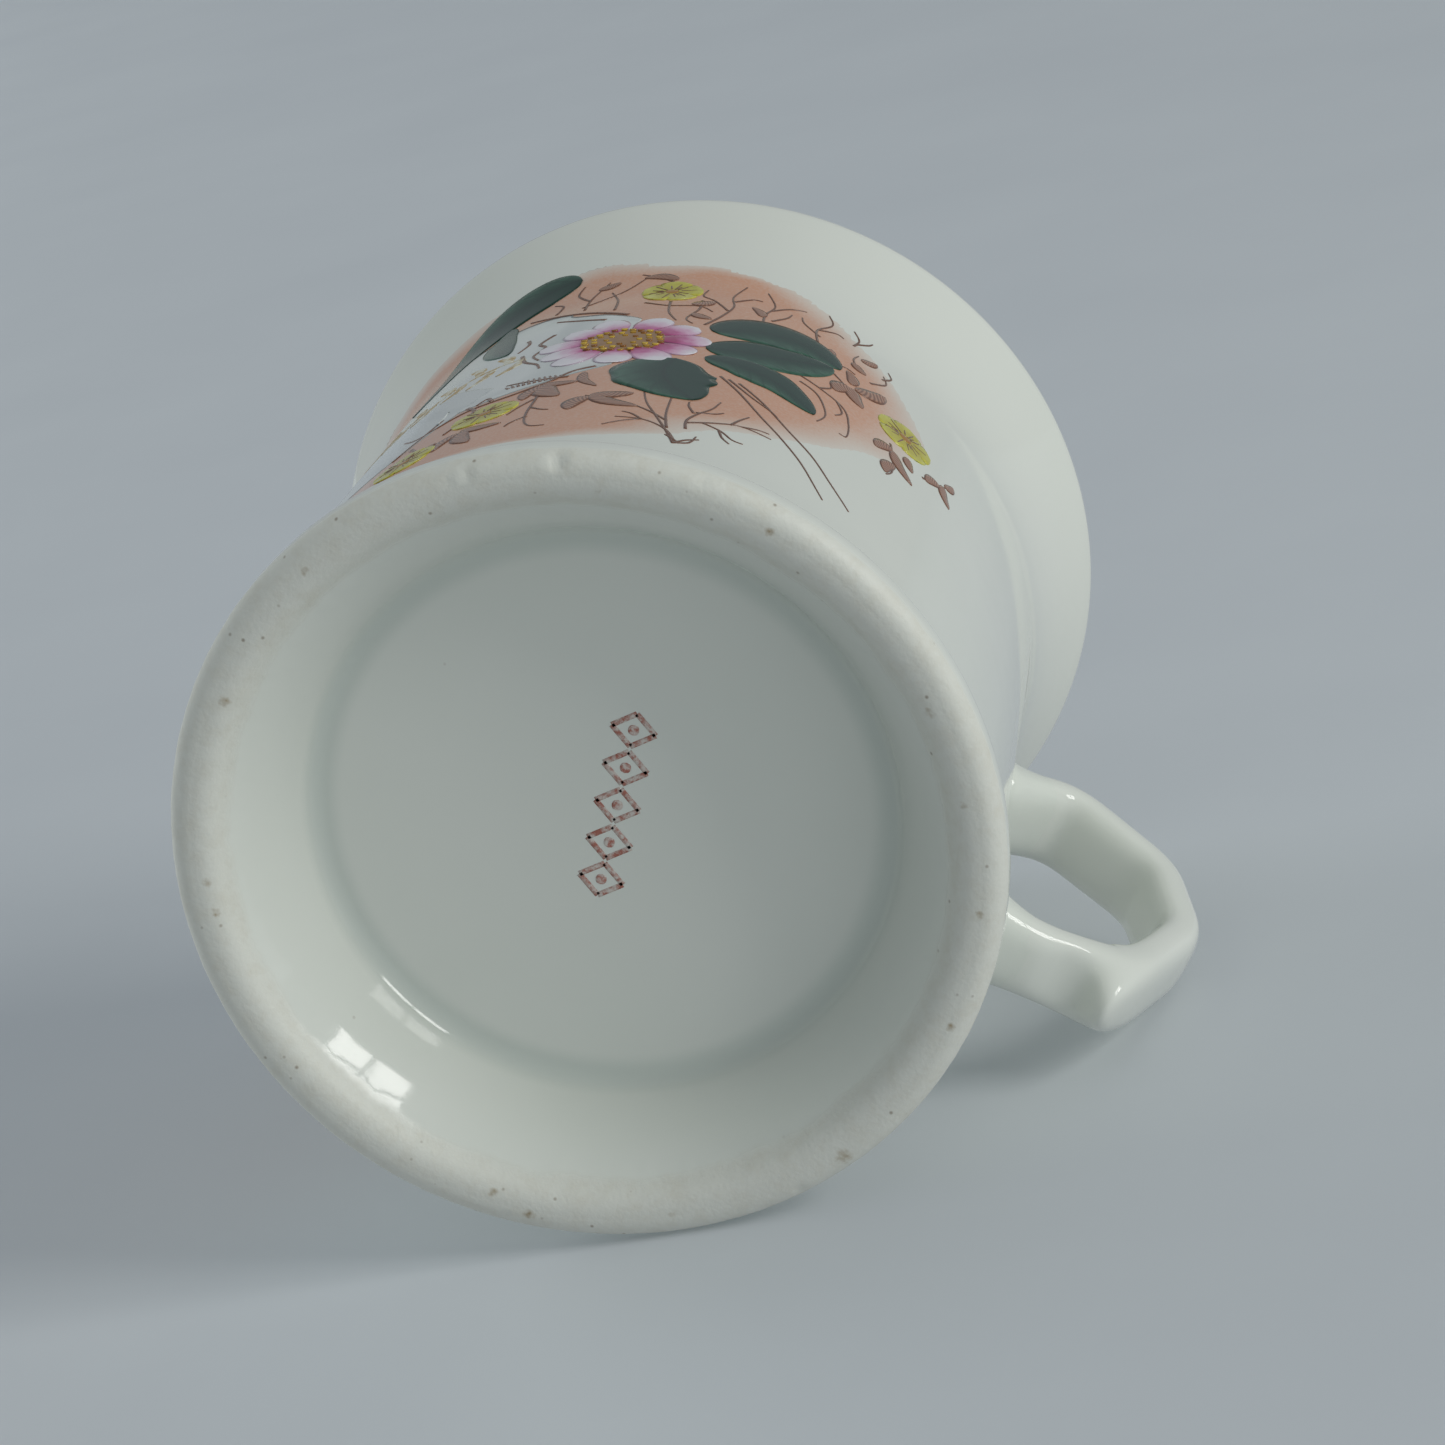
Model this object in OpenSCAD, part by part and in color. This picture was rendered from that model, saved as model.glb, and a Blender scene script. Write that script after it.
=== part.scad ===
// Porcelain shaving mug: a jiggered cup on a hollow spreading foot, a cast loop
// handle luted on with slip, and enamel, print and gold fired on over the glaze.
// Origin: centre of the ring the foot stands on. +Z up, handle towards +X.

/* [Cup] */
// Height from the table to the top of the lip
cup_h = 94.6; // [90:0.2:100]
// Outside radius of the wall just above the foot
wall_low_r = 42.4; // [41.5:0.1:43]
// Outside radius of the wall where the flare begins
wall_high_r = 40.4; // [39:0.1:41.5]
// Height where the flare begins
flare_z = 70; // [66:1:74]
// Radius of the curve that turns the wall outwards
flare_r = 44; // [36:1:60]
// Thickness of the wall
wall_t = 3.2; // [2.6:0.1:3.8]
// Thickness of the floor
floor_t = 4.5; // [3:0.1:6]
// Radius of the curve between the inside wall and the floor
inside_round = 9; // [6:0.5:12]

/* [Foot] */
// Radius of the foot at its widest
foot_r = 44; // [43.5:0.1:45]
// Rounding from the standing ring up to the widest line
foot_round = 2.3; // [1.5:0.1:3]
// Inner radius of the flat ring that the mug stands on
stand_in_r = 39.4; // [37:0.1:40]
// Radius of the recessed floor under the foot
recess_r = 31.3; // [28:0.1:33]
// Depth of the recess under the foot
recess_d = 13.5; // [8:0.5:15]
// Rounding between the recess's slope and its floor
recess_round = 2.5; // [1:0.5:4]

/* [Handle] */
// Width of the strap, across the loop
strap_w = 11; // [9:0.5:13]
// Thickness of the strap, in the plane of the loop
strap_t = 5.2; // [4:0.2:6.5]
// How far the spur at the lower corner stands out of the strap
spur = 2.2; // [0:0.1:3]
// Height of the upper shoulder of the loop
shoulder_z = 67.4; // [65:0.2:69]
// Distance of the upper shoulder from the axis of the cup
shoulder_x = 49.4; // [48:0.2:51]
// Distance of the outermost point of the loop from the axis of the cup
reach_x = 65.2; // [62:0.2:68]
// Height of the lower corner, where the spur is
heel_z = 30; // [29:0.2:32]

/* [Decoration] */
// Thickness of one layer of fired enamel
enamel_t = 0.15; // [0.1:0.01:0.3]
// Lower edge of the peach ground
ground_low_z = 10.5; // [9:0.5:14]
// Upper edge of the peach ground
ground_high_z = 82; // [74:0.5:84]
// Width of the ribbon scroll
ribbon_w = 24; // [16:1:28]
// Radius of the large flower
daisy_r = 9.5; // [7:0.5:11]

/* [Hidden] */

// Glazed porcelain and the fired colours
porcelain = "#dfe6de";
wet_slip = "#d6ddd4";
peach = "#d99c80";
ribbon_white = "#e4e8e2";
gold = "#c9a55c";
rose = "#d58fae";
leaf_green = "#2d5848";
lemon = "#d3cf4a";
sepia = "#6b4a3c";
iron_red = "#a8583f";

// Facets on a full turn of the cup and of the tool that trims what is luted on, and
// steps on the small rounds of the cup's section
turn_fn = 96;
trim_fn = 360;
round_steps = 6;

// Points on an arc about c, from angle a0 to angle a1
function arc_points(c, r, a0, a1, n = round_steps) =
    [for (i = [0:n]) let (a = a0 + (a1 - a0) * i / n) c + r * [cos(a), sin(a)]];

// Section of the cup: the wall leans in, then a wide arc turns it out to the lip
wall_low_z = 8;
lean = atan((wall_high_r - wall_low_r) / (flare_z - wall_low_z));
flare_c = [wall_high_r + flare_r * cos(lean), flare_z - flare_r * sin(lean)];
lip_r = wall_t / 2;
lip_a = 180 - asin((cup_h - lip_r - flare_c.y) / (flare_r + lip_r));
lip_c = flare_c + (flare_r + lip_r) * [cos(lip_a), sin(lip_a)];
floor_z = recess_d + floor_t;

// Outside radius of the cup at height z, above the foot
function wall_r(z) = z < flare_z
    ? wall_low_r + (z - wall_low_z) * tan(lean)
    : flare_c.x - sqrt(pow(flare_r, 2) - pow(z - flare_c.y, 2));

// Under the foot: flat floor, rounded corner, slope, rounded edge of the standing ring
slope_a = atan2(recess_d, stand_in_r - recess_r);
corner_run = recess_round * tan(slope_a / 2);
edge_round = 1.5;
edge_run = edge_round * tan(slope_a / 2);
recess_points = concat(
    [[0, recess_d]],
    arc_points([recess_r - corner_run, recess_d - recess_round], recess_round, 90, 90 - slope_a),
    arc_points([stand_in_r + edge_run, edge_round], edge_round, 270 - slope_a, 270));

// Outside of the foot: out to the widest line, back over a roll, and a cove up to the wall
roll_r = 2.6;
roll_a = 40;
roll_c = [foot_r - roll_r, foot_round + 1.3];
roll_end = roll_c + roll_r * [cos(roll_a), sin(roll_a)];
cove_r = (roll_end.x - wall_low_r) / (1 - cos(roll_a));
foot_points = concat(
    arc_points([foot_r - foot_round, foot_round], foot_round, 270, 360),
    arc_points(roll_c, roll_r, 0, roll_a),
    arc_points(roll_end + cove_r * [cos(roll_a), sin(roll_a)], cove_r, 180 + roll_a, 180));

// The flare outside, the lip, and the inside down to the floor
flare_steps = 14;
flare_out = arc_points(flare_c, flare_r, 180 - lean, lip_a, flare_steps);
lip_points = arc_points(lip_c, lip_r, lip_a - 180, lip_a, 2 * round_steps);
flare_in = arc_points(flare_c, flare_r + wall_t, lip_a, 180 - lean, flare_steps);
inside_low_r = wall_r(floor_z + inside_round) - wall_t;
inside_points = concat(
    arc_points([inside_low_r - inside_round, floor_z + inside_round], inside_round, 0, -90),
    [[0, floor_z]]);

module body() {
    color(porcelain)
        rotate_extrude($fn = turn_fn)
            polygon(concat(recess_points, foot_points, flare_out, lip_points, flare_in, inside_points));
}

// The handle's middle line, corner by corner, from inside the wall and back into it.
// Each entry is [x, z, how far the spur raises the outer face there].
root_x = wall_high_r - wall_t / 2;
handle_corners = [
    [root_x, 61.6, 0],
    [shoulder_x, shoulder_z, 0],
    [61.4, 60.2, 0],
    [reach_x, 47, 0],
    [59.6, heel_z, spur],
    [49.5, 28.2, 0],
    [root_x, 27.6, 0]];
last_corner = len(handle_corners) - 1;

// Each corner is rounded over this part of the runs beside it
corner_share = 0.34;
corner_steps = 4;
function mix(a, b, t) = a + (b - a) * t;
function bezier(a, b, c, t) = mix(mix(a, b, t), mix(b, c, t), t);
function corner_start(i) = mix(handle_corners[i], handle_corners[i - 1], corner_share);
function corner_end(i) = mix(handle_corners[i], handle_corners[i + 1], corner_share);
handle_line = concat(
    [handle_corners[0], mix(handle_corners[0], corner_start(1), 0.6)],
    [for (i = [1:last_corner - 1])
        for (j = [0:corner_steps])
            bezier(corner_start(i), handle_corners[i], corner_end(i), j / corner_steps)],
    [mix(handle_corners[last_corner], corner_end(last_corner - 1), 0.6), handle_corners[last_corner]]);
last_ring = len(handle_line) - 1;

// Sideways direction of the line at ring i, pointing out of the loop
function out_dir(i) =
    let (a = handle_line[max(i - 1, 0)], b = handle_line[min(i + 1, last_ring)])
    let (run = [b.x - a.x, b.y - a.y])
    [-run.y, run.x] / norm(run);

// One ring of the strap: an oval with flattened sides, fattened by grow
strap_sides = 16;
flatness = 0.8;
function flat_cos(a) = sign(cos(a)) * pow(abs(cos(a)), flatness);
function flat_sin(a) = sign(sin(a)) * pow(abs(sin(a)), flatness);
function strap_ring(i, grow) =
    let (p = handle_line[i], n = out_dir(i))
    [for (s = [0:strap_sides - 1])
        let (a = 360 * s / strap_sides)
        let (out = (strap_t / 2 + grow) * flat_cos(a) + (cos(a) > 0 ? p.z * cos(a) : 0))
        [p.x + n.x * out, (strap_w / 2 + grow) * flat_sin(a), p.y + n.y * out]];

// Corners of the four-sided facets between ring i and the next one, counted from a first point
function ring_facets(i, base = 0) =
    [for (s = [0:strap_sides - 1])
        let (t = (s + 1) % strap_sides, low = base + i * strap_sides, high = low + strap_sides)
        [high + s, high + t, low + t, low + s]];
function turned(facets) = [for (f = facets) [f[3], f[2], f[1], f[0]]];

module strap() {
    points = [for (i = [0:last_ring]) each strap_ring(i, 0)];
    root_cap = [for (s = [0:strap_sides - 1]) s];
    far_cap = [for (s = root_cap) len(points) - 1 - s];
    polyhedron(points, concat([root_cap], [for (i = [0:last_ring - 1]) each ring_facets(i)], [far_cap]));
}

// The wall's outside as a plain solid, to trim what is luted on to it
module wall_trim() {
    cylinder(h = wall_low_z, r = wall_low_r, $fn = trim_fn);
    translate([0, 0, wall_low_z])
        cylinder(h = flare_z - wall_low_z, r1 = wall_low_r, r2 = wall_high_r, $fn = trim_fn);
}

module handle() {
    color(porcelain)
        difference() {
            strap();
            wall_trim();
        }
}

// Slip squeezed out round each root and wiped to a cove: thick at the wall, thin on the strap
slip_thick = 1.9;
slip_mid = 0.6;
slip_edge = 0.1;
module collar(first, grows) {
    n = len(grows) - 1;
    inner = (n + 1) * strap_sides;
    points = concat(
        [for (i = [0:n]) each strap_ring(first + i, grows[i])],
        [for (i = [0:n]) each strap_ring(first + i, 0)]);
    facets = [for (i = [0:n - 1]) each concat(ring_facets(i), turned(ring_facets(i, inner)))];
    rims = [for (s = [0:strap_sides - 1])
        let (t = (s + 1) % strap_sides, top = n * strap_sides)
        each [[s, t, inner + t, inner + s], [top + t, top + s, inner + top + s, inner + top + t]]];
    polyhedron(points, concat(facets, rims));
}

module slip_joint(first, grows) {
    color(wet_slip)
        difference() {
            collar(first, grows);
            wall_trim();
        }
}

module upper_slip_joint() {
    slip_joint(0, [slip_thick, slip_mid, slip_edge]);
}

module lower_slip_joint() {
    slip_joint(last_ring - 2, [slip_edge, slip_mid, slip_thick]);
}

// Colours are laid on the wall in layers. Places on the wall are given as the
// distance along it from the handle's plane, clockwise seen from above, and a height.
wrap_r = 41.2;
function wall_a(along) = -along / wrap_r * 180 / PI;

// Heights where the outside changes direction between z0 and z1
flare_rings = 6;
function skin_heights(z0, z1) = z1 <= flare_z
    ? [z0, z1]
    : concat([z0], [for (i = [0:flare_rings]) mix(flare_z, z1, i / flare_rings)]);

// Skin of the given layer (0 is next to the glaze) between two heights and two places
module skin(layer, z0, z1, near, far) {
    zs = skin_heights(z0, z1);
    low = layer * enamel_t;
    inner = [for (z = zs) [wall_r(z) + low, z]];
    outer = [for (i = [len(zs) - 1:-1:0]) [wall_r(zs[i]) + low + enamel_t, zs[i]]];
    rotate([0, 0, wall_a(far)])
        rotate_extrude(angle = wall_a(near) - wall_a(far), $fn = turn_fn)
            polygon(concat(inner, outer));
}

// A flat outline, thrown straight at the wall at one place, cut out of a layer's skin
module painted(layer, along, z, turn = 0, reach = 14) {
    intersection() {
        skin(layer, max(z - reach, wall_low_z + 1), z + reach, along - reach, along + reach);
        rotate([0, 0, wall_a(along)])
            translate([0, 0, z])
                rotate([90, 0, 90])
                    rotate(turn)
                        linear_extrude(foot_r * 2)
                            children();
    }
}

// Where the ground begins and ends round the wall, and the middle of the ribbon
ground_near = 44;
ground_far = 190;
ribbon_near = 96;
ribbon_far = 162;
ribbon_z = 50;

module peach_ground() {
    color(peach)
        skin(0, ground_low_z, ground_high_z, ground_near, ground_far);
}

module ribbon_scroll() {
    color(ribbon_white)
        skin(1, ribbon_z - ribbon_w / 2, ribbon_z + ribbon_w / 2, ribbon_near, ribbon_far);
}

// A crescent stroke of gold
module crescent(r) {
    difference() {
        circle(r, $fn = 32);
        translate([r * 0.35, 0])
            circle(r * 0.9, $fn = 32);
    }
}

module gilt_flourish() {
    stroke_pitch = 12;
    color(gold)
        for (along = [ribbon_near + stroke_pitch : stroke_pitch : ribbon_far - stroke_pitch])
            painted(2, along, ribbon_z)
                crescent(5);
}

// Large flower: a ring of petals about a button centre
daisy_at = [86.5, 50];
module large_flower() {
    petals = 10;
    color(rose)
        painted(2, daisy_at.x, daisy_at.y) {
            circle(daisy_r * 0.62, $fn = 32);
            for (i = [0:petals - 1])
                rotate(i * 360 / petals)
                    translate([daisy_r * 0.72, 0])
                        circle(daisy_r * 0.28, $fn = 24);
        }
}

// Pointed leaf of the given length and width, lying along its own x axis
module leaf_outline(l, w) {
    bow = (pow(l / 2, 2) + pow(w / 2, 2)) / w;
    intersection() {
        translate([0, bow - w / 2])
            circle(bow, $fn = 48);
        translate([0, w / 2 - bow])
            circle(bow, $fn = 48);
    }
}

// Each leaf is [along, height, turn, length, width]
leaves = [
    [70, 61, 8, 15, 7],
    [69.5, 51, 24, 15, 6],
    [69.5, 42, -22, 13, 5],
    [79.5, 35, -80, 14, 10],
    [103, 78.5, 4, 13, 6],
    [112, 67.5, -60, 16, 8],
    [170, 57, 150, 15, 7],
    [171, 45, -160, 14, 6]];
module green_leaves() {
    color(leaf_green)
        for (l = leaves)
            painted(l[1] > 65 ? 1 : 2, l[0], l[1], l[2])
                leaf_outline(l[3], l[4]);
}

// Each small flower is [along, height, radius]
small_flowers = [[84.5, 72, 3.6], [52.5, 51.5, 3.9], [97.5, 26.5, 3.8], [105, 18, 3.8], [160, 24, 3.8], [178, 62, 3.6]];
module yellow_flowers() {
    color(lemon)
        for (f = small_flowers)
            painted(1, f[0], f[1])
                circle(f[2], $fn = 24);
}

// Each sprig is [along, height, turn, length] of its stem, which carries small leaves in pairs
sprigs = [[83, 20, 100, 13], [92, 23, 110, 13], [73, 20, 80, 13], [63, 27, -50, 15], [59, 43, 75, 12],
    [58, 59, 60, 11], [74, 75.5, 80, 8], [93, 75, 100, 8], [48, 44, -60, 9], [170, 30, 60, 13], [182, 50, 110, 13]];
module sprig_outline(l) {
    stem_w = 0.7;
    square([l, stem_w], center = true);
    for (side = [-1, 1])
        for (along = [-l / 4, l / 8])
            translate([along, side * 2])
                rotate(side * 40)
                    leaf_outline(5, 1.8);
}
module printed_sprigs() {
    color(sepia)
        for (s = sprigs)
            painted(1, s[0], s[1], s[2])
                sprig_outline(s[3]);
}

// Row of lozenges stamped on the glaze under the foot, a little askew
mark_at = [1, -1.3];
mark_turn = 77;
mark_pitch = 4.4;
mark_count = 5;
mark_l = 5;
mark_w = 3.4;
module base_mark() {
    color(iron_red)
        translate([mark_at.x, mark_at.y, recess_d - enamel_t])
            rotate(mark_turn)
                for (i = [0:mark_count - 1])
                    translate([(i - (mark_count - 1) / 2) * mark_pitch, 0, 0])
                        rotate(90)
                            linear_extrude(enamel_t)
                                leaf_outline(mark_l, mark_w);
}

body();
handle();
upper_slip_joint();
lower_slip_joint();
peach_ground();
ribbon_scroll();
gilt_flourish();
large_flower();
green_leaves();
yellow_flowers();
printed_sprigs();
base_mark();
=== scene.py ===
import math

import bmesh
import bpy
from mathutils import Matrix, Vector, noise


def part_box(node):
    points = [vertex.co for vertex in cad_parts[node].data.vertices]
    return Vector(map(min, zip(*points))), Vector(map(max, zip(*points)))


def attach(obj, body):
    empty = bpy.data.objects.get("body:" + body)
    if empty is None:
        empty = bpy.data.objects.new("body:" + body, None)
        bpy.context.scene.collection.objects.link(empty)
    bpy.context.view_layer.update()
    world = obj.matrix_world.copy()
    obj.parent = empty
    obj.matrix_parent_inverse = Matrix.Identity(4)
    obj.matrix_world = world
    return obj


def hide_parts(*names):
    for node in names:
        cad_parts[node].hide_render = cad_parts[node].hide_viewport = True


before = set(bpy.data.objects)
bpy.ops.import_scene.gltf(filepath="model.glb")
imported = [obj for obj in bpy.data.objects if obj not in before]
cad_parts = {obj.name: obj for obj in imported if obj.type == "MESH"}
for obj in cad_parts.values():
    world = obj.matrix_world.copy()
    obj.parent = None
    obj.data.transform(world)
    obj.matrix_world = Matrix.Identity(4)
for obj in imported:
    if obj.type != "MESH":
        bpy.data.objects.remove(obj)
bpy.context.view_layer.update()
scene = bpy.context.scene

# ---- The eye ----
# The mug is seen from below its foot and a little to one side, from about half a metre,
# with a long lens, so that the hollow foot faces the eye and the painted side lies above.
MM = 0.001
eye_at = Vector((-6.1, -196.9, -420.3)) * MM
look = Vector((0.0278, 0.3863, 0.9219)).normalized()
right = look.cross(Vector((-0.4409, -0.8230, 0.3582))).normalized()
eye = bpy.data.objects.new("eye", bpy.data.cameras.new("eye"))
eye.data.lens = 112.1
eye.data.sensor_width = 36
eye.data.clip_start = 0.01
turned_to = Matrix((right, right.cross(look), -look)).transposed().to_4x4()
eye.matrix_world = Matrix.Translation(eye_at) @ turned_to
scene.collection.objects.link(eye)
scene.camera = eye

# ---- Table ----
# A pale painted board. The mug lies on it on its side, and has rolled until the foot, the
# lip and the handle all touch, so in the mug's own frame the board is a steep plane.


def srgb(code):
    """Linear colour of an sRGB hex value."""
    parts = [int(code[i:i + 2], 16) / 255 for i in (1, 3, 5)]
    return tuple(c / 12.92 if c <= 0.04045 else ((c + 0.055) / 1.055) ** 2.4 for c in parts) + (1.0,)


def add(tree, kind, sockets={}, **settings):
    """Adds a shader node. A socket takes another node, one of a node's outputs, or a plain value."""
    made = tree.nodes.new("ShaderNode" + kind)
    for name, value in settings.items():
        setattr(made, name, value)
    for socket, value in sockets.items():
        if isinstance(value, bpy.types.Node):
            value = value.outputs[0]
        if isinstance(value, bpy.types.NodeSocket):
            tree.links.new(value, made.inputs[socket])
        else:
            made.inputs[socket].default_value = value
    return made


def new_material(name):
    """A material with its node tree and its shader."""
    made = bpy.data.materials.new(name)
    made.use_nodes = True
    return made, made.node_tree, made.node_tree.nodes["Principled BSDF"]


foot_touch = Vector((44, 2.3)) * MM
lip_touch = Vector((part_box("body")[1].y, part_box("body")[1].z - 1.6 * MM))
lean_out = (lip_touch.x - foot_touch.x) / (lip_touch.y - foot_touch.y)


def board_normal(angle):
    """Direction from the mug to the board when the mug has rolled to this angle."""
    return Vector((math.cos(angle), math.sin(angle), -lean_out)).normalized()


def board_distance(angle):
    """Distance from the middle of the foot to the board, through the point where the foot touches it."""
    touch = Vector((math.cos(angle) * foot_touch.x, math.sin(angle) * foot_touch.x, foot_touch.y))
    return board_normal(angle).dot(touch)


handle_points = [v.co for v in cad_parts["handle"].data.vertices]
ROLL_START, ROLL_STEP = math.radians(90), math.radians(0.25)
roll = ROLL_START
while max(board_normal(roll).dot(p) for p in handle_points) < board_distance(roll):
    roll -= ROLL_STEP

paint, tree, shader = new_material("matt_painted_board")
# Matt emulsion: no gloss to speak of, faintly clouded by the roller.
place = add(tree, "TexCoord")
cloud = add(tree, "TexNoise", {"Vector": place.outputs["Object"], "Scale": 1 / 0.06, "Detail": 5})
tint = add(tree, "Mix", {0: cloud.outputs["Fac"], 6: srgb("#d0d6da"), 7: srgb("#d9dfe2")}, data_type="RGBA")
tree.links.new(tint.outputs[2], shader.inputs["Base Color"])
shader.inputs["Roughness"].default_value = 0.62
shader.inputs["Specular IOR Level"].default_value = 0.35
# The board is one-sided, so that it hides nothing from behind. It lets the room's light past it, and
# fades out far from the mug.
facing = add(tree, "NewGeometry")
path = add(tree, "LightPath")
light_ray = add(tree, "Math", {0: path.outputs["Is Shadow Ray"], 1: path.outputs["Is Diffuse Ray"]},
                operation="MAXIMUM")
far = add(tree, "VectorMath", {0: place.outputs["Object"]}, operation="LENGTH")
fade = add(tree, "MapRange", {0: far.outputs["Value"], 1: 1.2, 2: 2.4}, interpolation_type="SMOOTHSTEP")
behind = add(tree, "Math", {0: facing.outputs["Backfacing"], 1: light_ray}, operation="MAXIMUM")
unseen = add(tree, "Math", {0: behind, 1: fade}, operation="MAXIMUM")
clear = add(tree, "BsdfTransparent")
one_sided = add(tree, "MixShader", {0: unseen, 1: shader, 2: clear})
tree.links.new(one_sided.outputs[0], tree.nodes["Material Output"].inputs["Surface"])

bm = bmesh.new()
bmesh.ops.create_grid(bm, x_segments=8, y_segments=8, size=2.5)
lie = (-board_normal(roll)).to_track_quat("Z", "Y").to_matrix().to_4x4()
lowered = Matrix.Translation(board_normal(roll) * (board_distance(roll) + 0.1 * MM))
bmesh.ops.transform(bm, matrix=lowered @ lie, verts=bm.verts)
board_mesh = bpy.data.meshes.new("board")
bm.to_mesh(board_mesh)
bm.free()
board_mesh.materials.append(paint)
board = bpy.data.objects.new("board", board_mesh)
scene.collection.objects.link(board)

# ---- Daylight ----
# A sash window to the upper right, two panes by two, gives soft light with one clear
# reflection. The pale room gives the rest, cool and even.
to_window = Vector((0.40, -0.89, -0.20)).normalized()
window_away = 2.0
pane_w, pane_h, bar_w = 0.37, 0.44, 0.045
turn = to_window.to_track_quat("Z", "Y").to_matrix().to_4x4()
for column in (-0.5, 0.5):
    for row in (-0.5, 0.5):
        pane = bpy.data.lights.new("pane", "AREA")
        pane.shape = "RECTANGLE"
        pane.size, pane.size_y = pane_w, pane_h
        pane.energy = 4.3
        pane.color = (1.0, 0.99, 0.96)
        glass = bpy.data.objects.new("pane", pane)
        offset = Vector((column * (pane_w + bar_w), row * (pane_h + bar_w), window_away))
        glass.matrix_world = turn @ Matrix.Translation(offset)
        scene.collection.objects.link(glass)

# Two pale walls send some of it back: one behind the eye, and one on the far side of the mug.
WALL_ACROSS, WALL_AWAY = 1.8, 1.6
walls = [("near_wall", (0.60, -0.36, -0.70), 4.0), ("far_wall", (-0.80, 0.45, 0.40), 13)]
for wall_name, to_wall, energy in walls:
    wall = bpy.data.lights.new(wall_name, "AREA")
    wall.shape = "DISK"
    wall.size = WALL_ACROSS
    wall.energy = energy
    wall.color = (0.97, 0.99, 1.0)
    hung = bpy.data.objects.new(wall_name, wall)
    hung.visible_glossy = False
    facing_mug = Vector(to_wall).to_track_quat("Z", "Y").to_matrix().to_4x4()
    hung.matrix_world = facing_mug @ Matrix.Translation((0, 0, WALL_AWAY))
    scene.collection.objects.link(hung)

room = bpy.data.worlds.new("pale_room")
room.use_nodes = True
room.node_tree.nodes["Background"].inputs["Color"].default_value = srgb("#dbe3ea")
room.node_tree.nodes["Background"].inputs["Strength"].default_value = 0.38
scene.world = room
scene.view_settings.view_transform = "Standard"

# ---- Cup ----
# Hard-paste porcelain, jiggered in one piece with its hollow spreading foot, dipped in a
# clear glaze and fired standing on the wiped, bare ring of the foot.
cup_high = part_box("body")[1] / MM
WALL_T = 3.2
WALL_LOW_R, WALL_LOW_Z = 42.4, 8
WALL_HIGH_R, FLARE_Z = 40.4, 70
FLARE_R = 44
FOOT_R, FOOT_ROUND = 44, 2.3
STAND_R = 39.4
RECESS_R, RECESS_D, RECESS_ROUND = 31.3, 13.5, 2.5
EDGE_ROUND = 3.0
ROLL_R, ROLL_A = 2.6, math.radians(40)
INSIDE_ROUND, INSIDE_FLOOR_Z = 9, 18
wall_lean = math.atan((WALL_HIGH_R - WALL_LOW_R) / (FLARE_Z - WALL_LOW_Z))
flare_c = Vector((WALL_HIGH_R + FLARE_R * math.cos(wall_lean), FLARE_Z - FLARE_R * math.sin(wall_lean)))


def wall_r(z):
    """Outside radius of the cup at a height above the foot, in millimetres."""
    if z < FLARE_Z:
        return WALL_LOW_R + (z - WALL_LOW_Z) * math.tan(wall_lean)
    return flare_c.x - math.sqrt(FLARE_R ** 2 - (z - flare_c.y) ** 2)


def arc(centre, r, start, end, steps):
    """Points of an arc in the section, from one angle to another."""
    angles = [start + (end - start) * i / steps for i in range(steps + 1)]
    return [Vector(centre) + r * Vector((math.cos(a), math.sin(a))) for a in angles]


def straight(a, b, steps):
    """Points between two points of the section, leaving both out."""
    return [a.lerp(b, i / steps) for i in range(1, steps)]


half_turn = math.pi
slope_a = math.atan2(RECESS_D, STAND_R - RECESS_R)
corner_run = RECESS_ROUND * math.tan(slope_a / 2)
edge_run = EDGE_ROUND * math.tan(slope_a / 2)
roll_c = Vector((FOOT_R - ROLL_R, FOOT_ROUND + 1.3))
roll_end = roll_c + ROLL_R * Vector((math.cos(ROLL_A), math.sin(ROLL_A)))
cove_r = (roll_end.x - WALL_LOW_R) / (1 - math.cos(ROLL_A))
cove_c = roll_end + cove_r * Vector((math.cos(ROLL_A), math.sin(ROLL_A)))
lip_r = WALL_T / 2
lip_a = half_turn - math.asin((cup_high.z - lip_r - flare_c.y) / (FLARE_R + lip_r))
lip_c = flare_c + (FLARE_R + lip_r) * Vector((math.cos(lip_a), math.sin(lip_a)))
inside_c_z = INSIDE_FLOOR_Z + INSIDE_ROUND
inside_c = Vector((wall_r(inside_c_z) - WALL_T - INSIDE_ROUND, inside_c_z))

SLOPE_BOW = 0.5


def bowed(points, a, b):
    """Bows a straight run a little, as the turning tool leaves the slope inside the foot."""
    across = Vector(((b - a).y, -(b - a).x)).normalized()
    share = [(p - a).length / (b - a).length for p in points]
    return [p + across * SLOPE_BOW * 4 * q * (1 - q) for p, q in zip(points, share)]


recess_corner = arc((RECESS_R - corner_run, RECESS_D - RECESS_ROUND), RECESS_ROUND, half_turn / 2,
                    half_turn / 2 - slope_a, 8)
stand_edge = arc((STAND_R + edge_run, EDGE_ROUND), EDGE_ROUND, 1.5 * half_turn - slope_a, 1.5 * half_turn, 6)
foot_side = arc((FOOT_R - FOOT_ROUND, FOOT_ROUND), FOOT_ROUND, 1.5 * half_turn, 2 * half_turn, 8)
foot_roll = arc(roll_c, ROLL_R, 0, ROLL_A, 4)
foot_cove = arc(cove_c, cove_r, half_turn + ROLL_A, half_turn, 4)
flare_out = arc(flare_c, FLARE_R, half_turn - wall_lean, lip_a, 16)
lip = arc(lip_c, lip_r, lip_a - half_turn, lip_a, 10)[1:-1]
flare_in = arc(flare_c, FLARE_R + WALL_T, lip_a, half_turn - wall_lean, 14)
inside_corner = arc(inside_c, INSIDE_ROUND, 0, -half_turn / 2, 8)
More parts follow.
